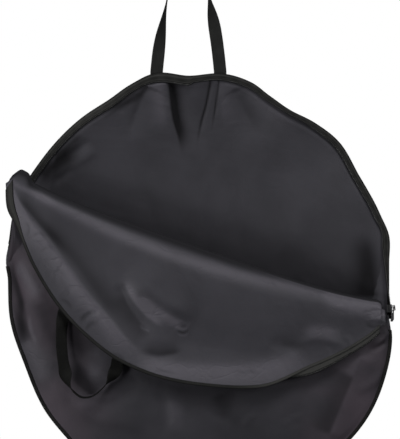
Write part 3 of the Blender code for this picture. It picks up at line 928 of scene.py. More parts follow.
@cache
def material_of(finish: Finishes) -> bpy.types.Material:
    """The material of a finish, made once."""
    return finish.value.make()


def link_object(name: str, data: bpy.types.ID) -> bpy.types.Object:
    """Puts a mesh, lamp or camera in the scene as an object at the origin.

    Args:
        name: The object's name.
        data: What it shows.

    Returns:
        The object.
    """
    obj = bpy.data.objects.new(name, data)
    bpy.context.scene.collection.objects.link(obj)
    return obj


def dress(mesh: bpy.types.Mesh, finish: Finishes) -> None:
    """Gives a mesh one finish."""
    mesh.materials.clear()
    mesh.materials.append(material_of(finish))


def grid_piece(
    name: str, grid: Array, uv: Array, finish: Finishes, thickness: float = 0.0, cap: Array | None = None,
    fade: Array | None = None,
) -> bpy.types.Object:
    """A sheet through a grid of places, with its UV map in metres.

    Args:
        name: The piece's name.
        grid: Places in rows and columns.
        uv: The UV place of each, in metres.
        finish: The finish.
        thickness: The cloth's thickness, or 0 for none.
        cap: For a disc, whose columns run round, the middle place that closes the first row.
        fade: The light and shade painted into the colour at each place, from -1 for the darkest painted shade
            to 1 for the brightest painted highlight.

    Returns:
        The object.
    """
    rows, columns = grid.shape[:2]
    index = np.arange(rows * columns).reshape(rows, columns)
    closed = cap is not None
    right = np.roll(index, -1, axis=1) if closed else index[:, 1:]
    left = index if closed else index[:, :-1]
    faces = np.stack((left[:-1], right[:-1], right[1:], left[1:]), axis=-1).reshape(-1, 4).tolist()
    points = grid.reshape(-1, 3).tolist()
    spots = uv.reshape(-1, 2).tolist()
    if closed:
        points.append(cap.tolist())
        spots.append([0.0, 0.0])
        faces += [[len(points) - 1, int(b), int(a)] for a, b in zip(left[0], right[0])]
    mesh = bpy.data.meshes.new(name)
    mesh.from_pydata(points, [], faces)
    layer = mesh.uv_layers.new(name="UVMap")
    corner = np.empty(len(mesh.loops), dtype=np.int32)
    mesh.loops.foreach_get("vertex_index", corner)
    layer.data.foreach_set("uv", np.array(spots, dtype=np.float32)[corner].ravel())
    if fade is not None:
        values = mesh.attributes.new("fade", "FLOAT", "POINT")
        values.data.foreach_set("value", np.ascontiguousarray(fade, dtype=np.float32).ravel())
    mesh.shade_smooth()
    dress(mesh, finish)
    piece = link_object(name, mesh)
    if thickness:
        solid = piece.modifiers.new("thickness", "SOLIDIFY")
        solid.thickness = thickness
        solid.offset = 0.0
    return piece


def sweep_piece(name: str, route: Array, across: Array, section: Array, finish: Finishes) -> bpy.types.Object:
    """A closed section carried along a route, with closed ends.

    Args:
        name: The piece's name.
        route: The places along it.
        across: The direction of the section's first axis at each place.
        section: The section's places, as distances across and out.
        finish: The finish.

    Returns:
        The object.
    """
    ahead = unit(np.gradient(route, axis=0))
    across = unit(across - ahead * np.sum(across * ahead, axis=1, keepdims=True))
    out = np.cross(ahead, across)
    section = np.vstack((section, section[:1]))
    grid = route[:, None] + across[:, None] * section[None, :, :1] + out[:, None] * section[None, :, 1:]
    uv = strip_uv(run_lengths(section), run_lengths(route)).swapaxes(0, 1)
    piece = grid_piece(name, grid, uv, finish)
    mesh = bmesh.new()
    mesh.from_mesh(piece.data)
    bmesh.ops.remove_doubles(mesh, verts=mesh.verts[:], dist=JOIN)
    bmesh.ops.holes_fill(mesh, edges=[e for e in mesh.edges if e.is_boundary], sides=0)
    bmesh.ops.recalc_face_normals(mesh, faces=mesh.faces[:])
    mesh.to_mesh(piece.data)
    mesh.free()
    piece.data.shade_smooth()
    return piece


class Repeat(Enum):
    """What is repeated along a path."""

    STITCH = "stitch"
    TOOTH = "tooth"


@dataclass(frozen=True)
class PathRepeat:
    """Geometry Nodes that set small equal pieces along a path.

    Attributes:
        length: Each piece's length along the path, or the thickness of a tooth's wire.
        slant: A tooth's lean in degrees.
    """

    kind: Repeat
    spacing: float
    length: float
    breadth: float
    uneven: float = 0.06
    slant: float = 16.0

    def shape(self, g: Graph, given: dict[str, Signal]) -> Signal:
        """Adds the nodes of one piece, lying along X.

        Args:
            g: The nodes.
            given: The tree's inputs, by name.

        Returns:
            The piece.
        """
        length, breadth = given["Length"], given["Breadth"]
        if self.kind is Repeat.STITCH:
            ball = g.node("GeometryNodeMeshUVSphere", {"Segments": 6, "Rings": 4, "Radius": 0.5})
            size = g.node("ShaderNodeCombineXYZ", {"X": length, "Y": breadth, "Z": breadth})
            return g.node("GeometryNodeTransform", {"Geometry": ball, "Scale": size})
        ring = g.node("GeometryNodeCurvePrimitiveCircle", {"Resolution": 9, "Radius": breadth * 0.5})
        wire = g.node("GeometryNodeCurvePrimitiveCircle", {"Resolution": 4, "Radius": length * 0.5})
        solid = g.node("GeometryNodeCurveToMesh", {"Curve": ring, "Profile Curve": wire})
        turn = (0.0, math.radians(90.0), math.radians(self.slant))
        return g.node("GeometryNodeTransform", {"Geometry": solid, "Rotation": turn})

    def tree(self) -> bpy.types.NodeTree:
        """Builds the node tree, with its sizes as named inputs.

        Returns:
            The tree.
        """
        tree = bpy.data.node_groups.new(f"{self.kind.value}_along_path", "GeometryNodeTree")
        g = Graph(tree)
        kinds = {"Geometry": "Geometry", "Spacing": "Float", "Length": "Float", "Breadth": "Float",
                 "Unevenness": "Float", "Seed": "Int", "Material": "Material"}
        for name, kind in kinds.items():
            tree.interface.new_socket(name, in_out="INPUT", socket_type=f"NodeSocket{kind}")
        tree.interface.new_socket("Geometry", in_out="OUTPUT", socket_type="NodeSocketGeometry")
        given = {name: g.node("NodeGroupInput", out=name) for name in kinds}
        curve = g.node("GeometryNodeMeshToCurve", {"Mesh": given["Geometry"]})
        values = {"Curve": curve, "Length": given["Spacing"]}
        even = g.node("GeometryNodeResampleCurve", values, mode="LENGTH")
        ahead = g.node("GeometryNodeInputTangent")
        facing = g.node("FunctionNodeAlignRotationToVector", {"Vector": ahead}, axis="X")
        values = {2: 1 - given["Unevenness"], 3: 1 + given["Unevenness"], "Seed": given["Seed"]}
        size = g.node("FunctionNodeRandomValue", values, 1, data_type="FLOAT")
        values = {"Points": even, "Instance": self.shape(g, given), "Rotation": facing, "Scale": size}
        done = g.node("GeometryNodeInstanceOnPoints", values)
        for kind in ("GeometryNodeRealizeInstances", "GeometryNodeSetShadeSmooth"):
            done = g.node(kind, {"Geometry": done})
        done = g.node("GeometryNodeSetMaterial", {"Geometry": done, "Material": given["Material"]})
        g.end("NodeGroupOutput", "Geometry", done)
        return tree

    def along(self, name: str, paths: Iterable[Array], finish: Finishes, seed: int = 3) -> bpy.types.Object:
        """Sets the pieces along paths and makes them one plain mesh.

        Args:
            name: The piece's name.
            paths: Rows of places.
            finish: The finish.
            seed: Fixes the unevenness.

        Returns:
            The object.
        """
        points: list[list[float]] = []
        edges: list[tuple[int, int]] = []
        for path in paths:
            first = len(points)
            points += path.tolist()
            edges += [(i, i + 1) for i in range(first, len(points) - 1)]
        mesh = bpy.data.meshes.new(name + "_path")
        mesh.from_pydata(points, edges, [])
        guide = link_object(name + "_path", mesh)
        step = guide.modifiers.new("repeat", "NODES")
        step.node_group = self.tree()
        values = {"Spacing": self.spacing, "Length": self.length, "Breadth": self.breadth,
                  "Unevenness": self.uneven, "Seed": seed, "Material": material_of(finish)}
        for item in step.node_group.interface.items_tree:
            if item.item_type == "SOCKET" and item.in_out == "INPUT" and item.name in values:
                step[item.identifier] = values[item.name]
        bpy.context.view_layer.update()
        made = bpy.data.meshes.new_from_object(guide.evaluated_get(bpy.context.evaluated_depsgraph_get()))
        made.name = name
        if "UVMap" not in made.uv_layers:
            made.uv_layers.new(name="UVMap")
        bpy.data.objects.remove(guide)
        dress(made, finish)
        return link_object(name, made)


STITCHES = PathRepeat(Repeat.STITCH, 0.0036, 0.0027, 0.0006)
TEETH = PathRepeat(Repeat.TOOTH, 0.0021, 0.0011, 0.003)


def report(piece: bpy.types.Object) -> bpy.types.Object:
    """Logs a finished piece and gives it back."""
    log.info("%s: %d faces", piece.name, len(piece.data.polygons))
    return piece


def settle(piece: bpy.types.Object, body: str, slot: str, *nodes: str) -> bpy.types.Object:
    """Puts a piece on its body and hides the nodes that it stands for.

    Args:
        piece: The piece.
        body: The body that it rides on.
        slot: Not used.
        nodes: The nodes that it replaces.

    Returns:
        The piece.
    """
    if nodes:
        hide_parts(*nodes)
    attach(piece, body)
    return report(piece)


@dataclass
class BackPanel:
    """The back disc, with the folds that hang from its handle.

    Attributes:
        slack: How far the cloth hangs forward of its solid half way out.
        calm_band: How far from the edge the folds begin, and over what width.
        rear_rows: The pixel row from which the deeper creases begin, and over how many rows.
        painted_light: Where highlights and shade are painted into its colour, in thousandths: lighter above
            0, darker below.
    """

    columns: tuple[int, int] = (200, 240)
    fine_angles: Pair = (50, 130)
    rings: tuple[int, int, int] = (24, 60, 8)
    ring_shares: Pair = (0.02, 0.55)
    slack: float = 0.011
    calm_band: Pair = (0.012, 0.014)
    rear_rows: Pair = (190, 150)
    folds: tuple[Fold, ...] = (
        Fold((173, 78, 176, 100, 179, 122, 186, 156), -13, 16, 4, (0, 0.6), 1.5),
        Fold((164, 82, 168, 104, 173, 124, 180, 156), 5, 3, 16, (0, 0.6), 1),
        Fold((211, 82, 206, 104, 201, 122, 196, 150), -4, 4, 9, (0, 0.6), 0.8),
        Fold((218, 84, 214, 108, 210, 134), -2, 3, 3, (0, 0.6), 0.8),
        Fold((236, 88, 247, 110, 264, 138), -4, 14, 7, (0.05, 0.6), 3),
        Fold((148, 86, 140, 102, 134, 118, 130, 142), -6, 10, 4, (0, 0.5), 1.5),
        Fold((138, 92, 128, 104, 114, 114), -3, 5, 5, (0.1, 0.3), 2),
        Fold((92, 138, 78, 149, 62, 160, 46, 168), -3.5, 4.5, 4.5, (0.2, 0.2)),
        Fold((98, 148, 84, 158, 66, 170, 50, 177), 2.5, 4.5, 4.5, (0.2, 0.3)),
        Fold((80, 140, 66, 150, 52, 158), 3.5, 4, 4, (0.2, 0.3)),
        Fold((74, 166, 62, 176, 52, 186), -3.5, 4, 4, (0.2, 0.3)),
        Fold((330, 160, 345, 190, 362, 225), 2.5, 10, 8, (0.2, 0.4)),
        Fold((364, 212, 370, 242, 373, 290), -1.5, 8, 8, (0.2, 0.2)),
        Fold((150, 150, 146, 190, 150, 230), -2.5, 9, 9),
        Fold((232, 160, 240, 200, 236, 250), -2.5, 10, 10),
        Fold((290, 170, 300, 210, 298, 260), 2.5, 12, 12),
    )
    # Painted light and shade: dark shadows along the pleats and folds with painted highlights beside them, a
    # painted shadow down the right side, and painted shade spreading towards the fold.
    painted_light: tuple[Fold, ...] = (
        Fold((169, 74, 171, 96, 174, 118, 178, 132, 184, 160), -1300, 9, 1.8, (0, 0.45)),
        Fold((158, 84, 161, 106, 164, 134), 550, 6, 9, (0, 0.5)),
        Fold((222, 84, 224, 104, 228, 134), 350, 10, 4, (0, 0.5)),
        Fold((211, 78, 206, 104, 201, 122, 196, 150), -1100, 1.2, 1.4, (0, 0.5)),
        Fold((219, 80, 215, 108, 211, 134), -900, 1.1, 1.1, (0, 0.5)),
        Fold((147, 86, 136, 98, 118, 106, 100, 122), -700, 3, 5, (0, 0.4)),
        Fold((238, 92, 250, 114, 264, 138), -350, 9, 4, (0.1, 0.6)),
        Fold((360, 225, 368, 255, 370, 296), -650, 8, 14, (0.4, 0)),
        Fold((40, 236, 130, 254, 240, 280, 370, 312), -560, 60, 30, (0, 0)),
        Fold((36, 180, 50, 168, 66, 158, 84, 148), -900, 7, 9, (0.2, 0.4)),
        Fold((52, 160, 66, 148, 84, 132), -700, 4, 4, (0.2, 0.3)),
        Fold((238, 88, 268, 102, 304, 128), 300, 6, 14, (0.2, 0.4)),
    )
    crumple: Crumple = Crumple(5, 0.07, 0.001, 2.2, 75.0)
    rear_crumple: Crumple = Crumple(8, 0.075, 0.0022, 1.6, 40.0)

    def depth(self, x: Array, z: Array) -> Array:
        """The cloth's depth at places across the disc, with its folds.

        Args:
            x: The places' X.
            z: Their Z.

        Returns:
            Their Y.
        """
        px, py = pixel_of(np.stack((x, x, z), axis=-1))
        lift = self.crumple.height(x, z) + self.rear_crumple.height(x, z) * ramp(py, *self.rear_rows)
        lift += total_height(self.folds, px, py)
        r, rim = BAG.from_middle(x, z)
        calm = ramp(rim - r, *self.calm_band)
        inner = np.minimum(1.0, r / (rim - BAG.flat_band)) ** 2
        return BAG.back_y(x, z) - self.slack * 4 * inner * (1 - inner) - lift * calm

    def make(self) -> None:
        """Builds the panel from rings round its middle."""
        (low, high), (first, fine) = self.fine_angles, self.ring_shares
        angles = [np.linspace(*ends, count, endpoint=False)
                  for ends, count in zip(((low, high), (high, low + 360)), self.columns)]
        inner, outer, band = self.rings
        shares = (np.linspace(first, fine, inner, endpoint=False), np.linspace(fine, 1, outer),
                  np.linspace(1, 2, band)[1:])
        grid = BAG.back(*np.meshgrid(np.concatenate(angles), np.concatenate(shares)))
        grid[..., 1] = self.depth(grid[..., 0], grid[..., 2])
        uv = grid[..., (0, 2)] - BAG.middle[[0, 2]]
        centre = BAG.middle.copy()
        centre[1] += self.depth(centre[:1], centre[2:])[0]
        # The painted light and shade at each place, and none at the middle.
        fade = np.append(total_height(self.painted_light, *pixel_of(grid)), 0.0)
        panel = grid_piece("back_panel_cloth", grid, uv, Finishes.INSIDE, SHOWN_CLOTH, centre, fade)
        settle(panel, "bag", "nylon", "back_panel")


@dataclass
class PocketPanel:
    """The front disc below the fold."""

    columns: tuple[int, int] = (24, 300)
    rows: int = 84
    calm_shares: Pair = (0.05, 0.06)
    folds: tuple[Fold, ...] = (
        Fold((160, 380, 163, 405, 166, 438), -2.2, 6, 5),
        Fold((171, 384, 174, 408, 175, 430), 1.8, 6, 4),
        Fold((186, 386, 189, 412, 184, 436), -1.4, 7, 6),
        Fold((236, 388, 232, 402, 222, 424), -3, 7, 12, (0.2, 0.2)),
        Fold((240, 426, 247, 419, 254, 411), 1.2, 2.5, 4),
        Fold((280, 424, 292, 418, 304, 412), 1.4, 2.5, 5),
        Fold((312, 376, 304, 398, 288, 428), -2.5, 9, 9, (0.2, 0.2)),
        Fold((364, 350, 351, 378, 341, 405, 330, 440), 5, 13, 4.5, (0.1, 0.1)),
        Fold((10, 228, 18, 236, 24, 250), 2, 3, 3.5, (0.2, 0.3)),
        Fold((7, 256, 14, 274, 22, 296, 24, 322), -4, 4, 3, (0.1, 0.2), 1),
        Fold((14, 254, 28, 274, 46, 300), 2.5, 9, 7, (0.2, 0.3)),
        Fold((26, 300, 29, 322, 34, 342), 2.5, 2.5, 3, (0.2, 0.3), 1),
        Fold((40, 302, 46, 318, 56, 334), -2.5, 8, 7, (0.2, 0.3)),
        Fold((70, 398, 92, 412, 122, 420, 156, 424), 3, 8, 9, (0.2, 0.3)),
        Fold((140, 374, 128, 392, 108, 404, 84, 406), -2.5, 8, 8, (0.1, 0.2)),
        Fold((100, 344, 104, 364, 102, 384), 1.2, 12, 12, (0.2, 0.3)),
        Fold((388, 330, 380, 340, 366, 344), 3, 3, 4, (0.1, 0.4)),
        Fold((386, 342, 376, 348, 364, 350), -3, 2.5, 3, (0.1, 0.4)),
        Fold((384, 372, 370, 384, 352, 392), 2, 5, 5, (0.2, 0.4)),
    )
    # Painted light and shade, in thousandths: painted shadows of the front strap and of the flap's hem,
    # patches of painted shade at the left, and painted highlights at the left and between the strap's legs.
    painted_light: tuple[Fold, ...] = (
        Fold((9, 258, 15, 280, 21, 300, 24, 318), -850, 3, 4.5),
        Fold((41, 294, 45, 312, 53, 334, 62, 360), -550, 16, 9, (0.3, 0.4)),
        Fold((17, 298, 22, 322, 25, 348), -850, 6, 6, (0.45, 0.4)),
        Fold((30, 312, 32, 328, 38, 346), 550, 1.6, 1.8),
        Fold((10, 296, 12, 310, 15, 326), 600, 1.6, 2),
        Fold((14, 264, 28, 276, 44, 296), 700, 8, 8, (0.2, 0.2)),
        Fold((22, 338, 34, 356, 44, 384), 500, 9, 9, (0.2, 0.2)),
        Fold((70, 304, 76, 330, 79, 354, 78, 380, 74, 404), -650, 9, 12, (0.2, 0.3)),
        Fold((96, 340, 100, 358, 100, 384), 450, 12, 16),
        Fold((150, 386, 210, 394, 262, 392, 320, 374, 352, 360), -400, 8, 9, (0.15, 0.15)),
        Fold((216, 392, 226, 412, 246, 424), -350, 10, 8, (0.1, 0.3)),
        Fold((352, 372, 342, 396, 326, 436), -600, 2, 16, (0.1, 0.1)),
        Fold((170, 392, 176, 410, 178, 434), 300, 8, 8),
    )
    crumple: Crumple = Crumple(11, 0.06, 0.001, 2.0, 60.0)

    def make(self) -> None:
        """Builds the panel, with its flat sewn band."""
        free, sewn = self.columns
        part = BAG.free_part
        columns = np.concatenate((np.linspace(0, part, free, endpoint=False), np.linspace(part, 1, sewn)))
        s, t = np.meshgrid(columns, np.linspace(0, 1, self.rows))
        grid = BAG.pocket(s, t)
        px, py = pixel_of(grid)
        lift = self.crumple.height(grid[..., 0], grid[..., 2]) + total_height(self.folds, px, py)
        # The painted light and shade at each place.
        fade = total_height(self.painted_light, px, py)
        calm = smooth(t / self.calm_shares[0]) * smooth((1 - t) / self.calm_shares[1])
        outward = normals_of(grid)
        outward *= np.where(outward @ TOWARDS < 0, -1, 1)[..., None]
        grid = grid + outward * (lift * calm)[..., None]
        grid = np.concatenate((grid, BAG.pocket_edge(s[:1], BAG.edge_inset)))
        uv = grid[..., (0, 2)] - BAG.middle[[0, 2]]
        fade = np.concatenate((fade, fade[-1:]))
        panel = grid_piece("pocket_cloth", grid, uv, Finishes.OUTSIDE, SHOWN_CLOTH, fade=fade)
        settle(panel, "bag", "nylon", "pocket_panel")


@dataclass
class FrontFlap:
    """The front disc above the fold, folded forward and down, with the round fold itself.

    Attributes:
        left_rise: Its rise at the left in millimetres, by shares down to the hem.
        left_share: Where along the fold that rise gives way, and over what share.
        settle_drop: How far under the fold the folds reach their full height.
        dark: How strong the painted shade just under the fold is, at the left and at the right.
        shade_drop: How far down that painted shade reaches, at the left and at the right.
        shade_share: Where along the fold the right's values come in, and over what share.
        bend_reach: Not used.
    """

    columns: int = 290
    rows: int = 88
    roll_rows: int = 9
    row_power: float = 1.15
    left_rise: Knots = ((0, 0), (0.05, 6), (0.12, 10), (0.3, 12), (0.6, 11), (0.85, 8), (1, 5))
    middle_rise: Knots = (
        (0, 0), (0.03, 6), (0.07, 12.5), (0.11, 17.5), (0.15, 20.5), (0.22, 22), (0.4, 19), (0.6, 12),
        (0.7, 10), (0.8, 13.5), (0.9, 19), (1, 26),
    )
    right_rise: Knots = ((0, 0), (0.05, 7), (0.13, 13), (0.3, 15), (0.6, 10), (0.8, 9), (1, 12))
    left_share: Pair = (0.18, 0.24)
    right_share: Pair = (0.70, 0.22)
    rise_side: float = 0.45
    least_height: float = 0.0052
    settle_drop: float = 0.02
    # How strong the painted shade over the round fold itself is.
    roll_shade: float = 0.78
    dark: Pair = (0.82, 0.48)
    shade_drop: Pair = (0.0155, 0.008)
    shade_share: Pair = (0.58, 0.25)
    folds: tuple[Fold, ...] = (
        Fold((15, 190, 23, 208, 48, 239, 70, 268, 89, 294, 108, 316, 130, 342, 146, 354),
             10, 13, 10, (0.3, 0.3), 2),
        Fold((44, 212, 66, 238, 88, 266, 108, 294, 126, 318), -4, 20, 9),
        Fold((126, 268, 142, 283, 162, 299, 182, 311, 198, 320), 12, 16, 14, (0.35, 0.35), 3),
        Fold((120, 280, 127, 300, 139, 317, 154, 332), -4, 5, 9, (0.2, 0.3), 1.5),
        Fold((140, 330, 160, 338, 182, 333), 4, 12, 8, (0.4, 0.4)),
        Fold((138, 350, 158, 355, 186, 349), -5, 4, 12, (0.3, 0.3), 1.2),
        Fold((178, 318, 186, 324, 192, 321), 1.5, 2, 2),
        Fold((176, 328, 184, 330, 191, 327), 1.2, 2, 2),
        Fold((290, 347, 308, 339, 326, 339, 352, 347), 5, 9, 10, (0.35, 0.35), 2),
        Fold((266, 344, 286, 344, 302, 351), -2.5, 7, 6),
        Fold((360, 300, 372, 303, 384, 306), 2, 3, 3, (0.4, 0.02), 1),
        Fold((366, 312, 375, 309, 385, 311), -1.8, 2, 2.5, (0.4, 0.02), 0.8),
        Fold((362, 321, 375, 318, 385, 322), 1.8, 2.5, 2.5, (0.4, 0.02), 0.8),
        Fold((376, 302, 379, 312, 376, 323), 1.4, 2, 2.5, (0.3, 0.3), 0.6),
        Fold((9, 186, 14, 206, 21, 226, 27, 242), -1.2, 1.5, 2.5, (0.1, 0.3), 0.5),
        Fold((56, 296, 64, 291, 72, 290), 0.5, 1.4, 2.8, (0.4, 0.5)),
        Fold((72, 312, 81, 305, 92, 303), 0.7, 1.6, 3, (0.4, 0.5)),
        Fold((84, 324, 91, 314, 103, 309), -0.7, 2.4, 1.6, (0.4, 0.5)),
        Fold((31, 243, 38, 239, 45, 243), 0.5, 1.6, 2.6, (0.4, 0.5)),
        Fold((332, 354, 330, 347, 322, 343), -1.2, 2.5, 3, (0.1, 0.5)),
        Fold((350, 346, 347, 339, 340, 334), 1.2, 2.5, 3, (0.1, 0.5)),
    )
    # Painted light and shade, in thousandths: a painted highlight band under the fold, painted highlights
    # along the left ridge, the wedge, the hem and the right end, and painted shade in the valleys and small
    # creases.
    painted_light: tuple[Fold, ...] = (
        Fold((30, 190, 60, 206, 90, 221, 120, 235, 150, 246, 180, 257, 215, 268, 250, 277, 290, 285,
              330, 294, 372, 304), 750, 6, 6, (0.05, 0.05)),
        Fold((14, 188, 22, 208, 48, 240, 70, 269, 89, 295, 108, 317, 130, 343, 150, 356),
             1000, 3, 13, (0.12, 0.2)),
        Fold((12, 182, 17, 194, 22, 206, 32, 220), 900, 2, 3, (0.1, 0.3)),
        Fold((42, 214, 62, 240, 84, 268, 104, 296, 122, 320), -450, 9, 5, (0.25, 0.2)),
        Fold((130, 356, 160, 364, 200, 368, 262, 366, 316, 350), 850, 7, 16, (0.15, 0.25)),
        Fold((125, 277, 134, 296, 148, 313, 166, 327), 1100, 5, 2, (0.25, 0.25)),
        Fold((138, 293, 154, 306, 172, 318, 186, 325), 1000, 4, 6, (0.2, 0.2)),
        Fold((120, 286, 128, 305, 140, 322, 152, 337), -480, 2, 13, (0.25, 0.2)),
        Fold((18, 192, 30, 208, 50, 232, 72, 260), -600, 6, 2, (0.2, 0.4)),
        Fold((11, 179, 20, 186, 38, 195, 62, 207), 700, 3, 3, (0.1, 0.3)),
        Fold((27, 220, 32, 228, 29, 238), -420, 1.2, 1.8, (0.3, 0.4)),
        Fold((34, 237, 42, 233, 50, 240), -420, 1.8, 1.2, (0.3, 0.4)),
        Fold((42, 252, 51, 247, 60, 252), -380, 1.8, 1.2, (0.3, 0.5)),
        Fold((54, 272, 62, 270, 70, 277), -320, 1.8, 1.2, (0.3, 0.5)),
        Fold((60, 298, 68, 300, 76, 309), -450, 1.4, 1.8, (0.3, 0.4)),
        Fold((80, 321, 87, 313, 98, 308), -700, 1.2, 2.6, (0.3, 0.4)),
        Fold((86, 330, 92, 322, 101, 320), -500, 1.2, 2, (0.3, 0.4)),
        Fold((174, 325, 184, 328, 191, 322), 600, 1.4, 1.2),
        Fold((176, 332, 184, 334, 190, 330), 500, 1.3, 1.2),
        Fold((176, 328, 184, 331, 190, 327), -700, 1.2, 1.2),
        Fold((140, 323, 145, 328, 152, 330), 500, 1.3, 1.2),
        Fold((110, 352, 119, 353, 128, 360), -420, 1.6, 1.2),
        Fold((150, 368, 164, 369, 180, 373), -420, 1.8, 1.2, (0.4, 0.4)),
        Fold((232, 374, 246, 370, 262, 371), -320, 1.8, 1.2, (0.4, 0.4)),
        Fold((362, 322, 372, 326, 382, 321), -500, 2.4, 1.4, (0.3, 0.1)),
        Fold((368, 303, 374, 309, 370, 316), 900, 1.6, 1.8, (0.3, 0.2)),
        Fold((358, 312, 366, 310, 374, 314), -700, 2.2, 1.6, (0.4, 0.2)),
        Fold((142, 347, 158, 352, 184, 350), -500, 6, 1.5, (0.25, 0.25)),
        Fold((298, 333, 318, 329, 344, 336), 700, 6, 7, (0.3, 0.4)),
        Fold((276, 342, 292, 343, 306, 348), -300, 5, 5),
        Fold((318, 291, 350, 300, 384, 309), 1800, 7, 10, (0.35, 0.05)),
    )
    crumple: Crumple = Crumple(17, 0.055, 0.0006, 2.4, 20.0)
    end_round: float = 0.0038
    end_turn: float = 0.95
    bend_reach: float = 0.0045

    def drop(self, s: Array, t: Array) -> Array:
        """The distance in metres down from the fold's chord."""
        fall = BAG.hem(s) - np.stack((s, BAG.sag(s)), axis=-1)
        return t * np.linalg.norm(fall, axis=-1) * BAG.fold_frame[3]

    def fade(self, s: Array, t: Array, place: Array) -> Array:
        """The light and shade painted into the cloth: painted shade along the fold, with painted highlights
        and shade elsewhere.

        Args:
            s: Shares along the fold.
            t: Shares down to the hem.
            place: The places.

        Returns:
            The painted shading, from -1 for the darkest painted shade to 1 for the brightest painted
            highlight.
        """
        right = ramp(s, *self.shade_share)
        dark, reach = (a + (b - a) * right for a, b in (self.dark, self.shade_drop))
        # Painted shade just under the fold, dying out downwards.
        edge = dark * (1 - smooth(self.drop(s, t) / reach))
        return np.clip(total_height(self.painted_light, *pixel_of(place)) - edge, -1.0, 1.0)

    def height(self, s: Array, t: Array, place: Array) -> Array:
        """How far the flap stands out of the fold's plane, with its folds.

        Args:
            s: Shares along the fold.
            t: Shares down to the hem.
            place: The places without folds.

        Returns:
            The heights.
        """
        left, right = 1 - ramp(s, *self.left_share), ramp(s, *self.right_share)
        parts = ((left, self.left_rise), (right, self.right_rise), (1 - left - right, self.middle_rise))
        rise = sum(share * through(knots, t) for share, knots in parts) * MILLIMETRE
        base = BAG.fold_roll + np.sin(np.pi * np.clip(s, 0, 1)) ** self.rise_side * rise
        lift = self.crumple.height(place[..., 0], place[..., 2]) + total_height(self.folds, *pixel_of(place))
        return np.maximum(base + lift * smooth(self.drop(s, t) / self.settle_drop), self.least_height)

    def surface(self, s: Array, t: Array) -> Array:
        """The flap's cloth with its folds, by shares along the fold and down to the hem."""
        flat = BAG.flap(s, t)
        return flat + BAG.fold_frame[2] * (self.height(s, t, flat) - BAG.flap_height(s, t))[..., None]

    @cached_property
    def samples(self) -> Array:
        """Places all over the cloth, from the fold's left end."""
        s, t = np.meshgrid(np.linspace(0, 1, 160), np.linspace(0, 1, 70))
        return (self.surface(s, t) - BAG.fold_start).reshape(-1, 3)

    def height_near(self, places: Array) -> Array:
        """How far the cloth stands out of the fold's plane nearest to places across it.

        Args:
            places: The places.

        Returns:
            The heights.
        """
        plane = np.stack(BAG.fold_frame[:2])
        spots, goals = self.samples @ plane.T, (places - BAG.fold_start) @ plane.T
        nearest = ((spots[None] - goals[:, None]) ** 2).sum(axis=-1).argmin(axis=1)
        return (self.samples @ BAG.fold_frame[2])[nearest]

    def make(self) -> None:
        """Builds the flap and its round fold as one cloth."""
        along, _, out, length = BAG.fold_frame
        columns = np.linspace(0, 1, self.columns)
        s, t = np.meshgrid(columns, np.linspace(0, 1, self.rows) ** self.row_power)
        angles = np.linspace(0, math.pi, self.roll_rows, endpoint=False)
        turn, s_roll = np.meshgrid(angles, columns, indexing="ij")
        bulge = BAG.fold_roll_share * BAG.fold_roll / length * np.sin(turn)
        roll = BAG.fold_place(s_roll, BAG.crease(s_roll) - bulge, -BAG.fold_roll * np.cos(turn))
        grid = np.concatenate((roll, self.surface(s, t)))
        steps = np.cumsum(np.linalg.norm(np.diff(grid, axis=0), axis=2), axis=0)
        down = np.concatenate((np.zeros((1, grid.shape[1])), steps))
        across = np.broadcast_to(columns * length, down.shape)
        # The round fold is painted in shade all over; the flap below takes its painted light and shade.
        fade = np.concatenate((np.full(turn.shape, -self.roll_shade), self.fade(s, t, BAG.flap(s, t))))
        bend = np.linspace(0, self.end_turn * math.pi, 8)[1:, None]
        round_end = self.end_round * (2 * along * np.sin(bend) - out * (1 - np.cos(bend)))
        grid = np.concatenate((grid, grid[:, -1:] + round_end[None]), axis=1)
        across = np.concatenate((across, across[:, -1:] + self.end_round * bend.T), axis=1)
        down, fade = (np.pad(k, ((0, 0), (0, len(bend))), "edge") for k in (down, fade))
        uv = np.stack((across, down), axis=-1)
        cloth = grid_piece("flap_cloth", grid, uv, Finishes.FLAP, SHOWN_CLOTH, fade=fade)
        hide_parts("front_flap")
        here = BAG.fold_place(0.5, 0.0, 0.0)
        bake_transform(cloth)
        report(cloth)


FLAP = FrontFlap()
BACK = BackPanel()


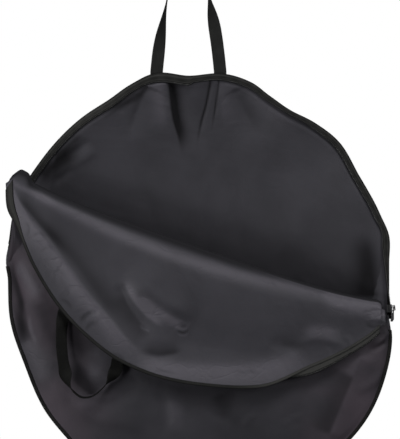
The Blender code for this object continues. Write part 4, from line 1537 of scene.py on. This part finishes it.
@dataclass
class Bindings:
    """The folded tapes round the disc's edge.

    Attributes:
        slot: The room between a tape's legs.
        leg_shares: At what share of their depth the legs are widest, and how much wider they are there.
        waves: How often it waves in a radian, how much that varies, and how often.
    """

    gap_angle: float = 1.2
    slot: float = 0.0044
    seam_depth: float = 0.007
    rim_depth: float = 0.0032
    thickness: float = 0.0008
    leg_shares: Pair = (0.65, 1.03)
    round_share: float = 0.8
    wave: float = 0.00025
    waves: Triple = (62, 1.3, 17)
    stitch_share: float = 0.7
    stitch_lift: float = 0.0001

    def band(self, name: str, ends: Pair, depth: float, node: str) -> None:
        """One folded tape with a stitched line along each side.

        Args:
            name: The piece's name.
            ends: The angles where it starts and ends, before the gap.
            depth: How far its legs reach in from the edge.
            node: The node that it replaces.
        """
        degrees = np.linspace(ends[0] + self.gap_angle, ends[1] - self.gap_angle, 300)
        half = self.slot / 2
        widest, wide = self.leg_shares
        legs = [(depth, half), (depth * widest, half * wide)]
        section = [(inset, -y) for inset, y in legs]
        section += [(half * self.round_share * (1 - math.cos(a)), half * math.sin(a))
                    for a in np.linspace(-math.pi / 2, math.pi / 2, 7)]
        section += legs[::-1]
        often, vary, vary_often = self.waves
        angle = np.radians(degrees)
        wave = self.wave * np.sin(angle * often + vary * np.sin(angle * vary_often))
        grid = np.stack([BAG.rim_place(degrees, inset, y + wave) for inset, y in section])
        uv = strip_uv(run_lengths(np.array(section)), run_lengths(grid[0]))
        tape = grid_piece(name, grid, uv, Finishes.BINDING, self.thickness)
        settle(tape, "bag", "tape_cloth", node)
        for side, label in ((-1, "front"), (1, "back")):
            y = side * (half * wide + self.thickness / 2 + self.stitch_lift)
            line = BAG.rim_place(degrees, depth * self.stitch_share, y)
            stitches = STITCHES.along(f"{name}_stitches_{label}", [line], Finishes.THREAD)
            settle(stitches, "bag", "tape_cloth")

    def make(self) -> None:
        """Builds both bindings."""
        self.band("seam_tape", BAG.seam_angles, self.seam_depth, "seam_binding")
        self.band("rim_tape", BAG.zip_angles, self.rim_depth, "rim_binding")


@dataclass
class Zip:
    """The zip's tapes, coils and ends.

    Attributes:
        grip: How far a coil lies into its tape's edge.
        bow: How far the rim's tape bows forward.
        edge_gap: How far in front of the back disc the rim's tape is sewn.
        lowered: Where the rim's coil hangs lower, as an angle, a width in degrees and a distance.
        raised: Where it stands higher and leans forward, in the same way.
        kink: Where its kink begins and where it ends, with the degrees that each takes, and its depth.
        painted_light: Where its tape carries a painted highlight, as an angle, a width in degrees and a
            strength.
        pale_tone: How much lighter its tape is painted all along, how much that varies, and how often.
        lip: How far the flap's tape reaches over its hem.
        corner_lip: How much further it reaches at its left end, up to what share of the fold, and over what.
        lip_least: How much of the lip's painted highlight is left away from the corner.
        round: Where its rows pass round the hem, as distances out and past the edge.
        loose: How much wider the tape is where it lies open.
        open_run: Over what share of the fold it narrows again.
        open_highlight: From where along the fold its tape is painted lighter as a highlight, and over what
            share.
        corner_highlight: Up to where its lip's painted highlight is strongest, and over what share.
        twist_drop: How far it drops where it begins to turn under.
    """

    core: float = 0.0011
    grip: float = 0.0006
    stitch_lift: float = 0.0006
    bow: float = 0.0012
    edge_gap: float = 0.0034
    lowered: Triple = (115, 11, 0.0022)
    raised: Triple = (62, 8, 0.0042)
    tipped: float = 0.003
    kink: tuple[Pair, Pair, float] = ((91.6, 1.8), (99, 9), 0.0058)
    painted_light: Triple = (122, 11, 0.45)
    pale_tone: Triple = (0.12, 0.10, 1.7)
    # How much each row across the rim's tape is painted lighter: two painted highlight lines.
    highlight_rows: tuple[float, ...] = (0.0, 0.28, 0.70, 0.14, 0.0, 0.07, 0.49, 0.07)
    stitch_shares: Pair = (0.12, 0.40)
    lip: float = 0.005
    corner_lip: Triple = (0.019, 0.015, 0.11)
    lip_lift: float = 0.0011
    lip_shares: tuple[float, ...] = (1.0, 0.8, 0.5, 0.2)
    # How much each row of the lip is painted lighter as a highlight.
    lip_highlight: tuple[float, ...] = (0.0, 0.8, 0.9, 0.6)
    lip_least: float = 0.25
    lip_stitch: float = 0.8
    round: tuple[Pair, Pair, Pair] = ((0.001, 0.0004), (0.0, 0.0011), (-0.0012, 0.0004))
    behind: float = 0.0012
    loose: float = 0.30
    open_run: float = 0.08
    open_highlight: Pair = (0.66, 0.12)
    corner_highlight: Pair = (0.10, 0.10)
    crowding: float = 1.25
    near_hem: float = 0.93
    twist_drop: float = 0.004
    coil_drop: float = 0.0014
    tape_ends: Pair = (0.012, 0.992)
    pocket_ends: Pair = (0.16, 0.62)
    pocket_lean: float = 0.5

    def coil(self, name: str, path: Array, body: str, node: str) -> None:
        """One coil: its turns round a core, along a path.

        Args:
            name: The piece's name.
            path: The coil's middle line.
            body: The body that it rides on.
            node: The node that it replaces.
        """
        turn = np.linspace(0, 2 * math.pi, 6, endpoint=False)
        section = self.core * np.stack((np.cos(turn), np.sin(turn)), axis=-1)
        core = sweep_piece(name + "_core", path, np.broadcast_to(TOWARDS, path.shape), section, Finishes.COIL)
        settle(core, body, "coil_plastic", node)
        settle(TEETH.along(name + "_turns", [path], Finishes.COIL), body, "coil_plastic")

    def back_tape(self) -> None:
        """The tape on the back disc's edge, fallen inwards, with the coil at its free edge."""
        degrees = np.linspace(*BAG.zip_angles, 360)
        lowered, raised, painted_light = (
            height * np.exp(-(((degrees - angle) / width) ** 2))
            for angle, width, height in (self.lowered, self.raised, self.painted_light)
        )
        begin, end, depth = self.kink
        kink = depth * ramp(degrees, *begin) * (1 - ramp(degrees, *end))
        coil = BAG.coil_place(degrees)
        inwards = unit((BAG.middle - coil) * (1, 0, 1))
        forward = TOWARDS * (self.tipped / self.raised[2] * raised)[:, None]
        coil = coil + inwards * (lowered - raised + kink)[:, None] + forward
        sewn = BAG.rim_place(degrees, BAG.edge_inset, -self.edge_gap)
        free = coil + unit(sewn - coil) * (BAG.coil / 2 - self.grip)

        def row(share: float, lift: float = 0.0) -> Array:
            """The places at a share of the way across the tape."""
            return lerp(sewn, free, share) + TOWARDS * (self.bow * math.sin(math.pi * share) + lift)

        shares = np.linspace(0, 1, len(self.highlight_rows))
        grid = np.stack([row(share) for share in shares])
        uv = strip_uv(shares * BAG.tape_width, run_lengths(sewn))
        # The rim's tape is painted lighter all along, varying along it, with a painted highlight patch and
        # painted highlight lines.
        pale_tone, vary, often = self.pale_tone
        fade = pale_tone + painted_light + vary * np.sin(degrees * often) + np.array(self.highlight_rows)[:, None]
        tape = grid_piece("rim_zip_tape", grid, uv, Finishes.TAPE, BAG.tape_thickness, fade=fade)
        settle(tape, "bag", "tape_cloth", "back_zip_tape")
        self.coil("rim_coil", coil, "bag", "back_zip_coil")
        lines = [row(share, self.stitch_lift) for share in self.stitch_shares]
        settle(STITCHES.along("rim_tape_stitches", lines, Finishes.THREAD), "bag", "tape_cloth")

    def hem_place(self, s: Array, reach: Array | float, extra: float = 0.0) -> Array:
        """Places across the flap's tape, which wraps the hem and is turned under along most of it.

        Args:
            s: Shares along the fold.
            reach: The distance from the hem across the tape, less than 0 on top of the cloth.
            extra: How much further behind the cloth the places lie.

        Returns:
            The places.
        """
        out = BAG.fold_frame[2]
        edge = FLAP.surface(s, np.ones_like(s))
        room = np.maximum(np.linalg.norm(FLAP.surface(s, np.zeros_like(s)) - edge, axis=-1), 1e-4)
        on_cloth = FLAP.surface(s, np.clip(1 - np.abs(reach) / room, 0, 1))
        if np.all(reach < 0):
            return on_cloth + out * self.lip_lift
        drop = BAG.cloth / 2 + BAG.gap + BAG.tape_thickness / 2 + extra
        turn = BAG.turned(s)
        reach = np.broadcast_to(reach, s.shape)
        opened = edge - self.inwards(s) * reach[:, None] - out * drop
        place = lerp(opened, on_cloth - out * drop, turn)
        return place - out * (self.twist_drop * reach / BAG.tape_width * 4 * turn * (1 - turn))[..., None]

    def inwards(self, s: Array) -> Array:
        """The directions from the hem up the flap's cloth."""
        return unit(FLAP.surface(s, np.full_like(s, self.near_hem)) - FLAP.surface(s, np.ones_like(s)))

    def flap_tape(self) -> None:
        """The tape along the flap's hem, from the lip on its cloth round to the coil behind it."""
        first, last = self.tape_ends
        s = first + (last - first) * np.linspace(0, 1, 340) ** self.crowding
        out = BAG.fold_frame[2]
        edge, inwards = FLAP.surface(s, np.ones_like(s)), self.inwards(s)
        more, *corner = self.corner_lip
        lip = self.lip + more * (1 - ramp(s, *corner))
        rows = [self.hem_place(s, -lip * share) for share in self.lip_shares]
        rows += [edge + out * up - inwards * past for up, past in self.round]
        open_end = ramp(s, BAG.unturned_share, self.open_run)
        wider = 1 + self.loose * (1 - BAG.turned(s)) * (1 - open_end)
        rows += [self.hem_place(s, r * wider) for r in np.linspace(self.behind, BAG.tape_width, 6)]
        grid = np.stack(rows)
        uv = strip_uv(run_lengths(grid[:, len(s) // 2]), run_lengths(edge))
        # Painted highlights on the flap's tape: where it lies open, and along its lip, strongest near the
        # left corner.
        painted_light = np.array(self.lip_highlight + (0,) * (len(rows) - len(self.lip_highlight)))[:, None]
        least = self.lip_least
        fade = ramp(s, *self.open_highlight) + painted_light * (least + (1 - least) * (1 - ramp(s, *self.corner_highlight)))
        tape = grid_piece("hem_zip_tape", grid, uv, Finishes.TAPE, BAG.tape_thickness, fade=fade)
        settle(tape, "flap", "tape_cloth", "flap_zip_tape")
        reach = BAG.tape_width + BAG.gap + BAG.coil / 2 - self.grip
        self.coil("hem_coil", self.hem_place(s, reach * wider, self.coil_drop), "flap", "flap_zip_coil")
        line = self.hem_place(s, -self.lip * self.lip_stitch) + out * self.stitch_lift
        settle(STITCHES.along("hem_stitches", [line], Finishes.THREAD), "flap", "tape_cloth")

    def pocket_tape(self) -> None:
        """The stretch of the front's tape below the fold's left end, turned in behind the cloth."""
        s = BAG.free_part * np.linspace(*self.pocket_ends, 60)
        edge = BAG.pocket_edge(s, BAG.edge_inset)
        inwards = unit(BAG.pocket_edge(s, BAG.seam_band) - edge)
        start = edge - TOWARDS * (BAG.cloth + BAG.gap)
        direction = unit(inwards - TOWARDS * self.pocket_lean)
        reaches = np.linspace(0, BAG.tape_width, 6)
        grid = start + direction * reaches[:, None, None]
        uv = strip_uv(reaches, run_lengths(edge))
        tape = grid_piece("corner_zip_tape", grid, uv, Finishes.TAPE, BAG.tape_thickness)
        settle(tape, "bag", "tape_cloth", "pocket_zip_tape")
        path = start + direction * (BAG.tape_width + BAG.coil / 2 - self.grip)
        self.coil("corner_coil", path, "bag", "pocket_zip_coil")

    def make(self) -> None:
        """Builds the zip, and dresses its metal solids."""
        self.back_tape()
        self.flap_tape()
        self.pocket_tape()
        for name in ("zip_slider", "zip_pull", "zip_stop_left", "zip_stop_right"):
            dress(frame["nodes"][name].data, Finishes.METAL)


@dataclass
class Handle:
    """What both handles have: a flat strap whose two ends are sewn on.

    Attributes:
        sewn: The first of its route's places that is stitched, and the one after the last.
        crosses: Which of those places its cross stitches join.
        bend_reach: How far to either side of its joint a bend would reach; the strap is not made to bend.
        clearance: How far past the edge the free loop begins.
    """

    name: str
    finish: Finishes
    sewn: tuple[int, int]
    crosses: tuple[tuple[int, int], ...]
    foot: float
    bend_reach: float
    width: float = 0.025
    thickness: float = 0.0018
    foot_gap: float = 0.0006
    clearance: float = 0.003
    stitch_inset: float = 0.0025
    stitch_lift: float = 0.0003

    @property
    def beside(self) -> Array:
        """Distances across the strap, to a little past its edges, one a row."""
        return np.linspace(-0.55, 0.55, 7)[:, None] * self.width

    @property
    def foot_rise(self) -> float:
        """How high the strap's middle lies over what it is sewn on."""
        return self.foot_gap + self.thickness / 2

    @property
    def section(self) -> Array:
        """The section of a flat strap with soft edges.

        Returns:
            Its places, across the strap and out of it.
        """
        half, thick = self.width / 2, self.thickness / 2
        turn = np.linspace(-math.pi / 2, math.pi / 2, 5)
        edge = np.stack((half - thick + thick * np.cos(turn), thick * np.sin(turn)), axis=-1)
        flat = np.linspace(half - thick, thick - half, 7)[1:-1]
        top = np.stack((flat, np.full_like(flat, thick)), axis=-1)
        return np.vstack((edge, top, -edge, -top))

    def strap(self, route: Array, across: Array) -> bpy.types.Object:
        """The whole strap, by the places along it and the directions across it."""
        return report(sweep_piece(f"{self.name}_strap", route, across, self.section, self.finish))

    def stitching(self, body: str, ends: Iterable[tuple[Array, Array]], out: Array) -> None:
        """The lines and crosses of stitches on the sewn ends.

        Args:
            body: The body that they ride on.
            ends: The route of each sewn end and the directions across it.
            out: The direction off the strap.
        """
        lines = []
        for foot, wide in ends:
            reach, lift = self.width / 2 - self.stitch_inset, out * (self.thickness / 2 + self.stitch_lift)
            rails = [foot + wide * side * reach + lift for side in (-1, 1)]
            lines += rails
            lines += [lerp(rails[0][i], rails[1][k], np.linspace(0, 1, 8)) for i, k in self.crosses]
        stitches = STITCHES.along(f"{self.name}_stitches", lines, Finishes.THREAD)
        settle(stitches, body, "webbing_cloth")


@dataclass
class BackHandle(Handle):
    """The back handle: one strap with both its ends sewn on the disc's back face.

    Attributes:
        twists: The shares of each leg over which it makes its quarter turn.
        bow: How far its legs bow, and over how much of a wave.
    """

    name: str = "back_handle"
    finish: Finishes = Finishes.WEBBING
    sewn: tuple[int, int] = (2, 36)
    crosses: tuple[tuple[int, int], ...] = ((0, 0), (12, 12), (33, 33), (0, 12), (12, 0))
    foot: float = 0.08
    bend_reach: float = 0.003
    spacing: float = 0.126
    offset: float = -0.023
    grip: float = 0.079
    corner: float = 0.024
    twists: tuple[Pair, Pair] = ((0.05, 0.88), (0.40, 1.0))
    edge_clearance: float = 0.0026
    cloth_rise: float = 0.0006
    bow: Pair = (0.0016, 1.4)

    @cached_property
    def hinge(self) -> Array:
        """The middle of the line on which the bag swings.

        Returns:
            The place.
        """
        tops = []
        for side in Side:
            x = self.offset + side.value * self.spacing / 2
            angle = 90.0
            for _ in range(8):
                angle = math.degrees(math.acos(x / float(BAG.rim(angle))))
            tops.append(float(BAG.rim_place(angle)[2]))
        return np.array((self.offset, self.edge_clearance + self.foot_rise, max(tops) + self.clearance))

    def half(self, side: Side, twist: Pair) -> tuple[Array, Array]:
        """The route of one half, from the end of its sewn foot to the middle of the grip.

        Args:
            side: Which leg it is.
            twist: The shares of the leg over which it makes its quarter turn.

        Returns:
            The places and the directions across the strap.
        """
        x0, y0, z0 = self.hinge
        x, corner_x = self.spacing / 2, self.grip / 2
        corner_z = -self.thickness / 2 - self.corner

        def run(out: Array | float, y: Array | float, z: Array | float) -> Array:
            """Places by their distance from the handle's middle, to this half's side."""
            return np.stack(np.broadcast_arrays(x0 + side.value * out, y, z), axis=-1)

        foot_z = z0 + np.linspace(-self.clearance - self.foot, 0, 40)[:-1]
        lie = BACK.depth(*np.broadcast_arrays(x0 + side.value * x + self.beside, foot_z)).max(axis=0)
        foot = run(x, np.maximum(y0, lie + self.cloth_rise + self.foot_rise), foot_z)
        share = np.linspace(0, 1, 60)
        bow, waves = self.bow
        leg_x = x + (corner_x - x) * share + bow * np.sin(np.pi * share * waves)
        leg = run(leg_x, y0, z0 + (corner_z - z0) * share)
        turn = np.linspace(0, math.pi / 2, 14)[1:]
        bend_x = corner_x - self.corner * (1 - np.cos(turn))
        bend = run(bend_x, y0, corner_z + self.corner * np.sin(turn))
        flat = lerp(bend[-1], run(0.0, y0, bend[-1][2]), np.linspace(0, 1, 8)[1:])
        low, high = twist
        turned = np.pad(ramp(share, low, high - low), (len(foot), 0))
        turned = math.pi / 2 * np.pad(turned, (0, len(bend) + len(flat)), "edge")[:, None]
        return np.vstack((foot, leg, bend, flat)), RIGHT * np.cos(turned) - TOWARDS * np.sin(turned)

    def make(self) -> None:
        """Builds the strap and its stitching."""
        left, left_across = self.half(Side.LEFT, self.twists[0])
        right, right_across = self.half(Side.RIGHT, self.twists[1])
        strap = self.strap(np.vstack((left, right[-2::-1])), np.vstack((left_across, right_across[-2::-1])))
        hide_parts("back_handle", "back_handle_foot_left", "back_handle_foot_right")
        reach = UP * self.bend_reach
        tuple(self.hinge - reach)
        tuple(self.hinge + reach)
        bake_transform(strap)
        sewn = slice(*self.sewn)
        self.stitching("bag", [(half[sewn], RIGHT) for half in (left, right)], -TOWARDS)


@dataclass
class FrontHandle(Handle):
    """The front handle, sewn on the flap's outer face and hanging below its hem.

    Attributes:
        hem_stack: How far behind the flap's middle it passes the hem's tape.
        twists: The shares of the loop over which it turns edge on, and flat again.
        lean_shares: Over what share the lean begins, at what share it ends and over what share.
        end_share: Over what share of the loop its ends lie as the sewn ends do.
    """

    name: str = "front_handle"
    finish: Finishes = Finishes.SHADED_WEBBING
    sewn: tuple[int, int] = (1, 24)
    crosses: tuple[tuple[int, int], ...] = ((0, 0), (9, 9), (0, 9), (9, 0))
    foot: float = 0.07
    bend_reach: float = 0.0028
    foot_shares: tuple[Pair, Pair] = ((-0.68, -0.115), (-0.411, -0.355))
    route_shares: Knots = (
        (-0.692, -0.18), (-0.694, -0.29), (-0.68, -0.400), (-0.655, -0.49), (-0.600, -0.545),
        (-0.545, -0.545), (-0.495, -0.51), (-0.45, -0.455), (-0.418, -0.400),
    )
    grip_depth: float = 0.053
    hem_stack: float = 0.0062
    foot_stack: float = 0.0022
    twists: tuple[Pair, Pair] = ((0.35, 0.56), (0.80, 0.95))
    lean: float = -0.6
    lean_shares: Triple = (0.12, 0.5, 0.15)
    end_share: float = 0.06

    @cached_property
    def away(self) -> Array:
        """The direction in the flap's plane in which the handle leaves the hem.

        Returns:
            The direction.
        """
        _, fall, out, _ = BAG.fold_frame
        down = -UP + fall * (2 * UP.dot(fall)) + out * (2 * UP.dot(out))
        return unit(out * down.dot(out) - down)

    @cached_property
    def feet(self) -> tuple[Array, Array]:
        """The two ends of the handle at the hem.

        Returns:
            Their places.
        """
        found = []
        for shares in self.foot_shares:
            s, v = BAG.fold_shares(BAG.disc_place(shares))
            height = BAG.flap_height(s, 1.0) - self.hem_stack - self.foot_stack
            found.append(BAG.fold_place(s, v, height))
        return tuple(found)

    def foot_run(self, foot: Array) -> tuple[Array, Array]:
        """The sewn end's route, from its far end to the hem.

        Args:
            foot: Where it leaves the hem.

        Returns:
            The places and the directions across the strap.
        """
        across = np.cross(-self.away, BAG.fold_frame[2])
        close = BAG.cloth / 2 + self.foot_rise
        rows = []
        for run in np.linspace(self.foot, 0, 30) + self.clearance:
            place = foot - self.away * run
            lift = FLAP.height_near(place + across * self.beside).min()
            rise = ramp(run, 2 * BAG.tape_width, BAG.tape_width)
            clear = self.hem_stack + (close - self.hem_stack) * rise
            rows.append(BAG.fold_place(*BAG.fold_shares(place), lift - clear))
        return np.stack(rows), np.broadcast_to(across, (len(rows), 3))

    def loop(self) -> tuple[Array, Array]:
        """The free loop's route, with its twists.

        Returns:
            The places and the directions across the strap.
        """
        first, last = (foot + self.away * self.clearance for foot in self.feet)
        route = [first]
        for share, place in zip(np.linspace(0, 1, len(self.route_shares) + 2)[1:], self.route_shares):
            depth = -(first[1] + (last[1] - first[1]) * share)
            depth += (self.grip_depth - depth) * math.sin(math.pi * share)
            route.append(BAG.disc_place(place, -depth))
        t = np.linspace(0, 1, 120)
        loop = along_run(np.array(route + [last]), t)
        side = unit(np.cross(unit(np.gradient(loop, axis=0)), TOWARDS))
        level = unit(np.cross(self.away, TOWARDS))
        near = smooth(1 - np.minimum(t, 1 - t) / self.end_share)[:, None]
        side = unit(side * (1 - near) + level * np.where(side @ level > 0, 1.0, -1.0)[:, None] * near)
        on, off = (ramp(t, low, high - low) for low, high in self.twists)
        start, end, width = self.lean_shares
        lean = self.lean * smooth(t / start) * smooth((end - t) / width)
        turn = (math.pi / 2 * (on - off) + lean)[:, None]
        return loop, side * np.cos(turn) - TOWARDS * np.sin(turn)

    def make(self) -> None:
        """Builds the strap and its stitching."""
        loop, loop_across = self.loop()
        (left, left_across), (right, right_across) = (self.foot_run(foot) for foot in self.feet)
        left_across = left_across * np.sign(loop_across[0] @ left_across[-1])
        right_across = right_across * np.sign(loop_across[-1] @ right_across[-1])
        route, across = (left, loop, right[::-1]), (left_across, loop_across, right_across[::-1])
        strap = self.strap(np.vstack(route), np.vstack(across))
        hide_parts("front_handle", "front_handle_foot_left", "front_handle_foot_right")
        hinge = (self.feet[0] + self.feet[1]) / 2
        axis = unit(self.feet[1] - self.feet[0])
        reach = unit(self.away - axis * self.away.dot(axis)) * self.bend_reach
        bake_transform(strap)
        sewn = slice(*self.sewn)
        ends = [(left[sewn], left_across[sewn]), (right[sewn], right_across[sewn])]
        self.stitching("flap", ends, -BAG.fold_frame[2])


@dataclass(frozen=True)
class Lamp:
    """A soft square lamp, aimed at the bag."""

    name: str
    place: Triple
    size: float
    power: float
    aim: Triple = (0.0, 0.0, -0.55)

    def make(self) -> None:
        """Places the lamp."""
        data = bpy.data.lights.new(self.name, "AREA")
        data.shape, data.size, data.energy = "SQUARE", self.size, self.power
        lamp = link_object(self.name, data)
        lamp.location = self.place
        lamp.rotation_euler = (Vector(self.aim) - Vector(self.place)).to_track_quat("-Z", "Y").to_euler()


@dataclass
class Studio:
    """The camera, the light and the floor."""

    distance: float = 4.0
    frame_height: float = PICTURE_HEIGHT * PIXEL
    centre: Triple = (0.0, 0.0, (PIXEL_CENTRE[1] - PICTURE_HEIGHT / 2) * PIXEL)
    lens: float = 110.0
    far: float = 50.0
    floor_z: float = -1.45
    floor_half: float = 1.35
    white: tuple[float, ...] = (1.0, 1.0, 1.0, 1.0)
    soft: tuple[float, ...] = (0.95, 0.96, 1.0, 1.0)
    soft_power: float = 0.08
    lamps: tuple[Lamp, ...] = (
        Lamp("left", (-2.7, -2.3, -0.1), 0.7, 20.0),
        Lamp("left_low", (-2.6, -2.1, -1.3), 0.9, 50.0),
        Lamp("top", (0.2, -2.3, 2.2), 0.9, 56.0),
        Lamp("right", (2.6, -2.4, 0.3), 1.2, 52.0),
        Lamp("behind", (0.4, 2.6, 0.8), 1.6, 6.0),
    )

    def camera(self) -> None:
        """Places the camera square on to the bag."""
        data = bpy.data.cameras.new("camera")
        data.sensor_fit = "VERTICAL"
        data.sensor_height = data.sensor_width = self.frame_height / self.distance * self.lens
        data.lens = self.lens
        data.clip_end = self.far
        camera = link_object("camera", data)
        x, y, z = self.centre
        camera.location = (x, y - self.distance, z)
        camera.rotation_euler = (math.pi / 2, 0.0, 0.0)
        bpy.context.scene.camera = camera

    def world(self) -> None:
        """Soft light from all round, seen white by the camera."""
        world = bpy.data.worlds.new("studio")
        bpy.context.scene.world = world
        world.use_nodes = True
        g = Graph(world.node_tree)
        white = g.node("ShaderNodeBackground", {"Color": self.white})
        soft = g.node("ShaderNodeBackground", {"Color": self.soft, "Strength": self.soft_power})
        g.end("ShaderNodeOutputWorld", "Surface", g.seen(soft, white))

    def floor(self) -> None:
        """The plain pale floor under the bag."""
        mesh = bpy.data.meshes.new("floor")
        corners = [(x * self.floor_half, y * self.floor_half, self.floor_z)
                   for x, y in ((-1, -1), (1, -1), (1, 1), (-1, 1))]
        mesh.from_pydata(corners, [], [(0, 1, 2, 3)])
        dress(mesh, Finishes.FLOOR)
        link_object("floor", mesh)

    def make(self) -> None:
        """Builds the studio."""
        bpy.context.scene.view_settings.view_transform = "Standard"
        self.camera()
        self.world()
        self.floor()
        for lamp in self.lamps:
            lamp.make()


def main() -> None:
    """Builds the bag piece by piece."""
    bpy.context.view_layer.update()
    Studio().make()
    for piece in (BACK, PocketPanel(), FLAP, Bindings(), Zip(), BackHandle(), FrontHandle()):
        piece.make()


if __name__ == "__main__":
    main()
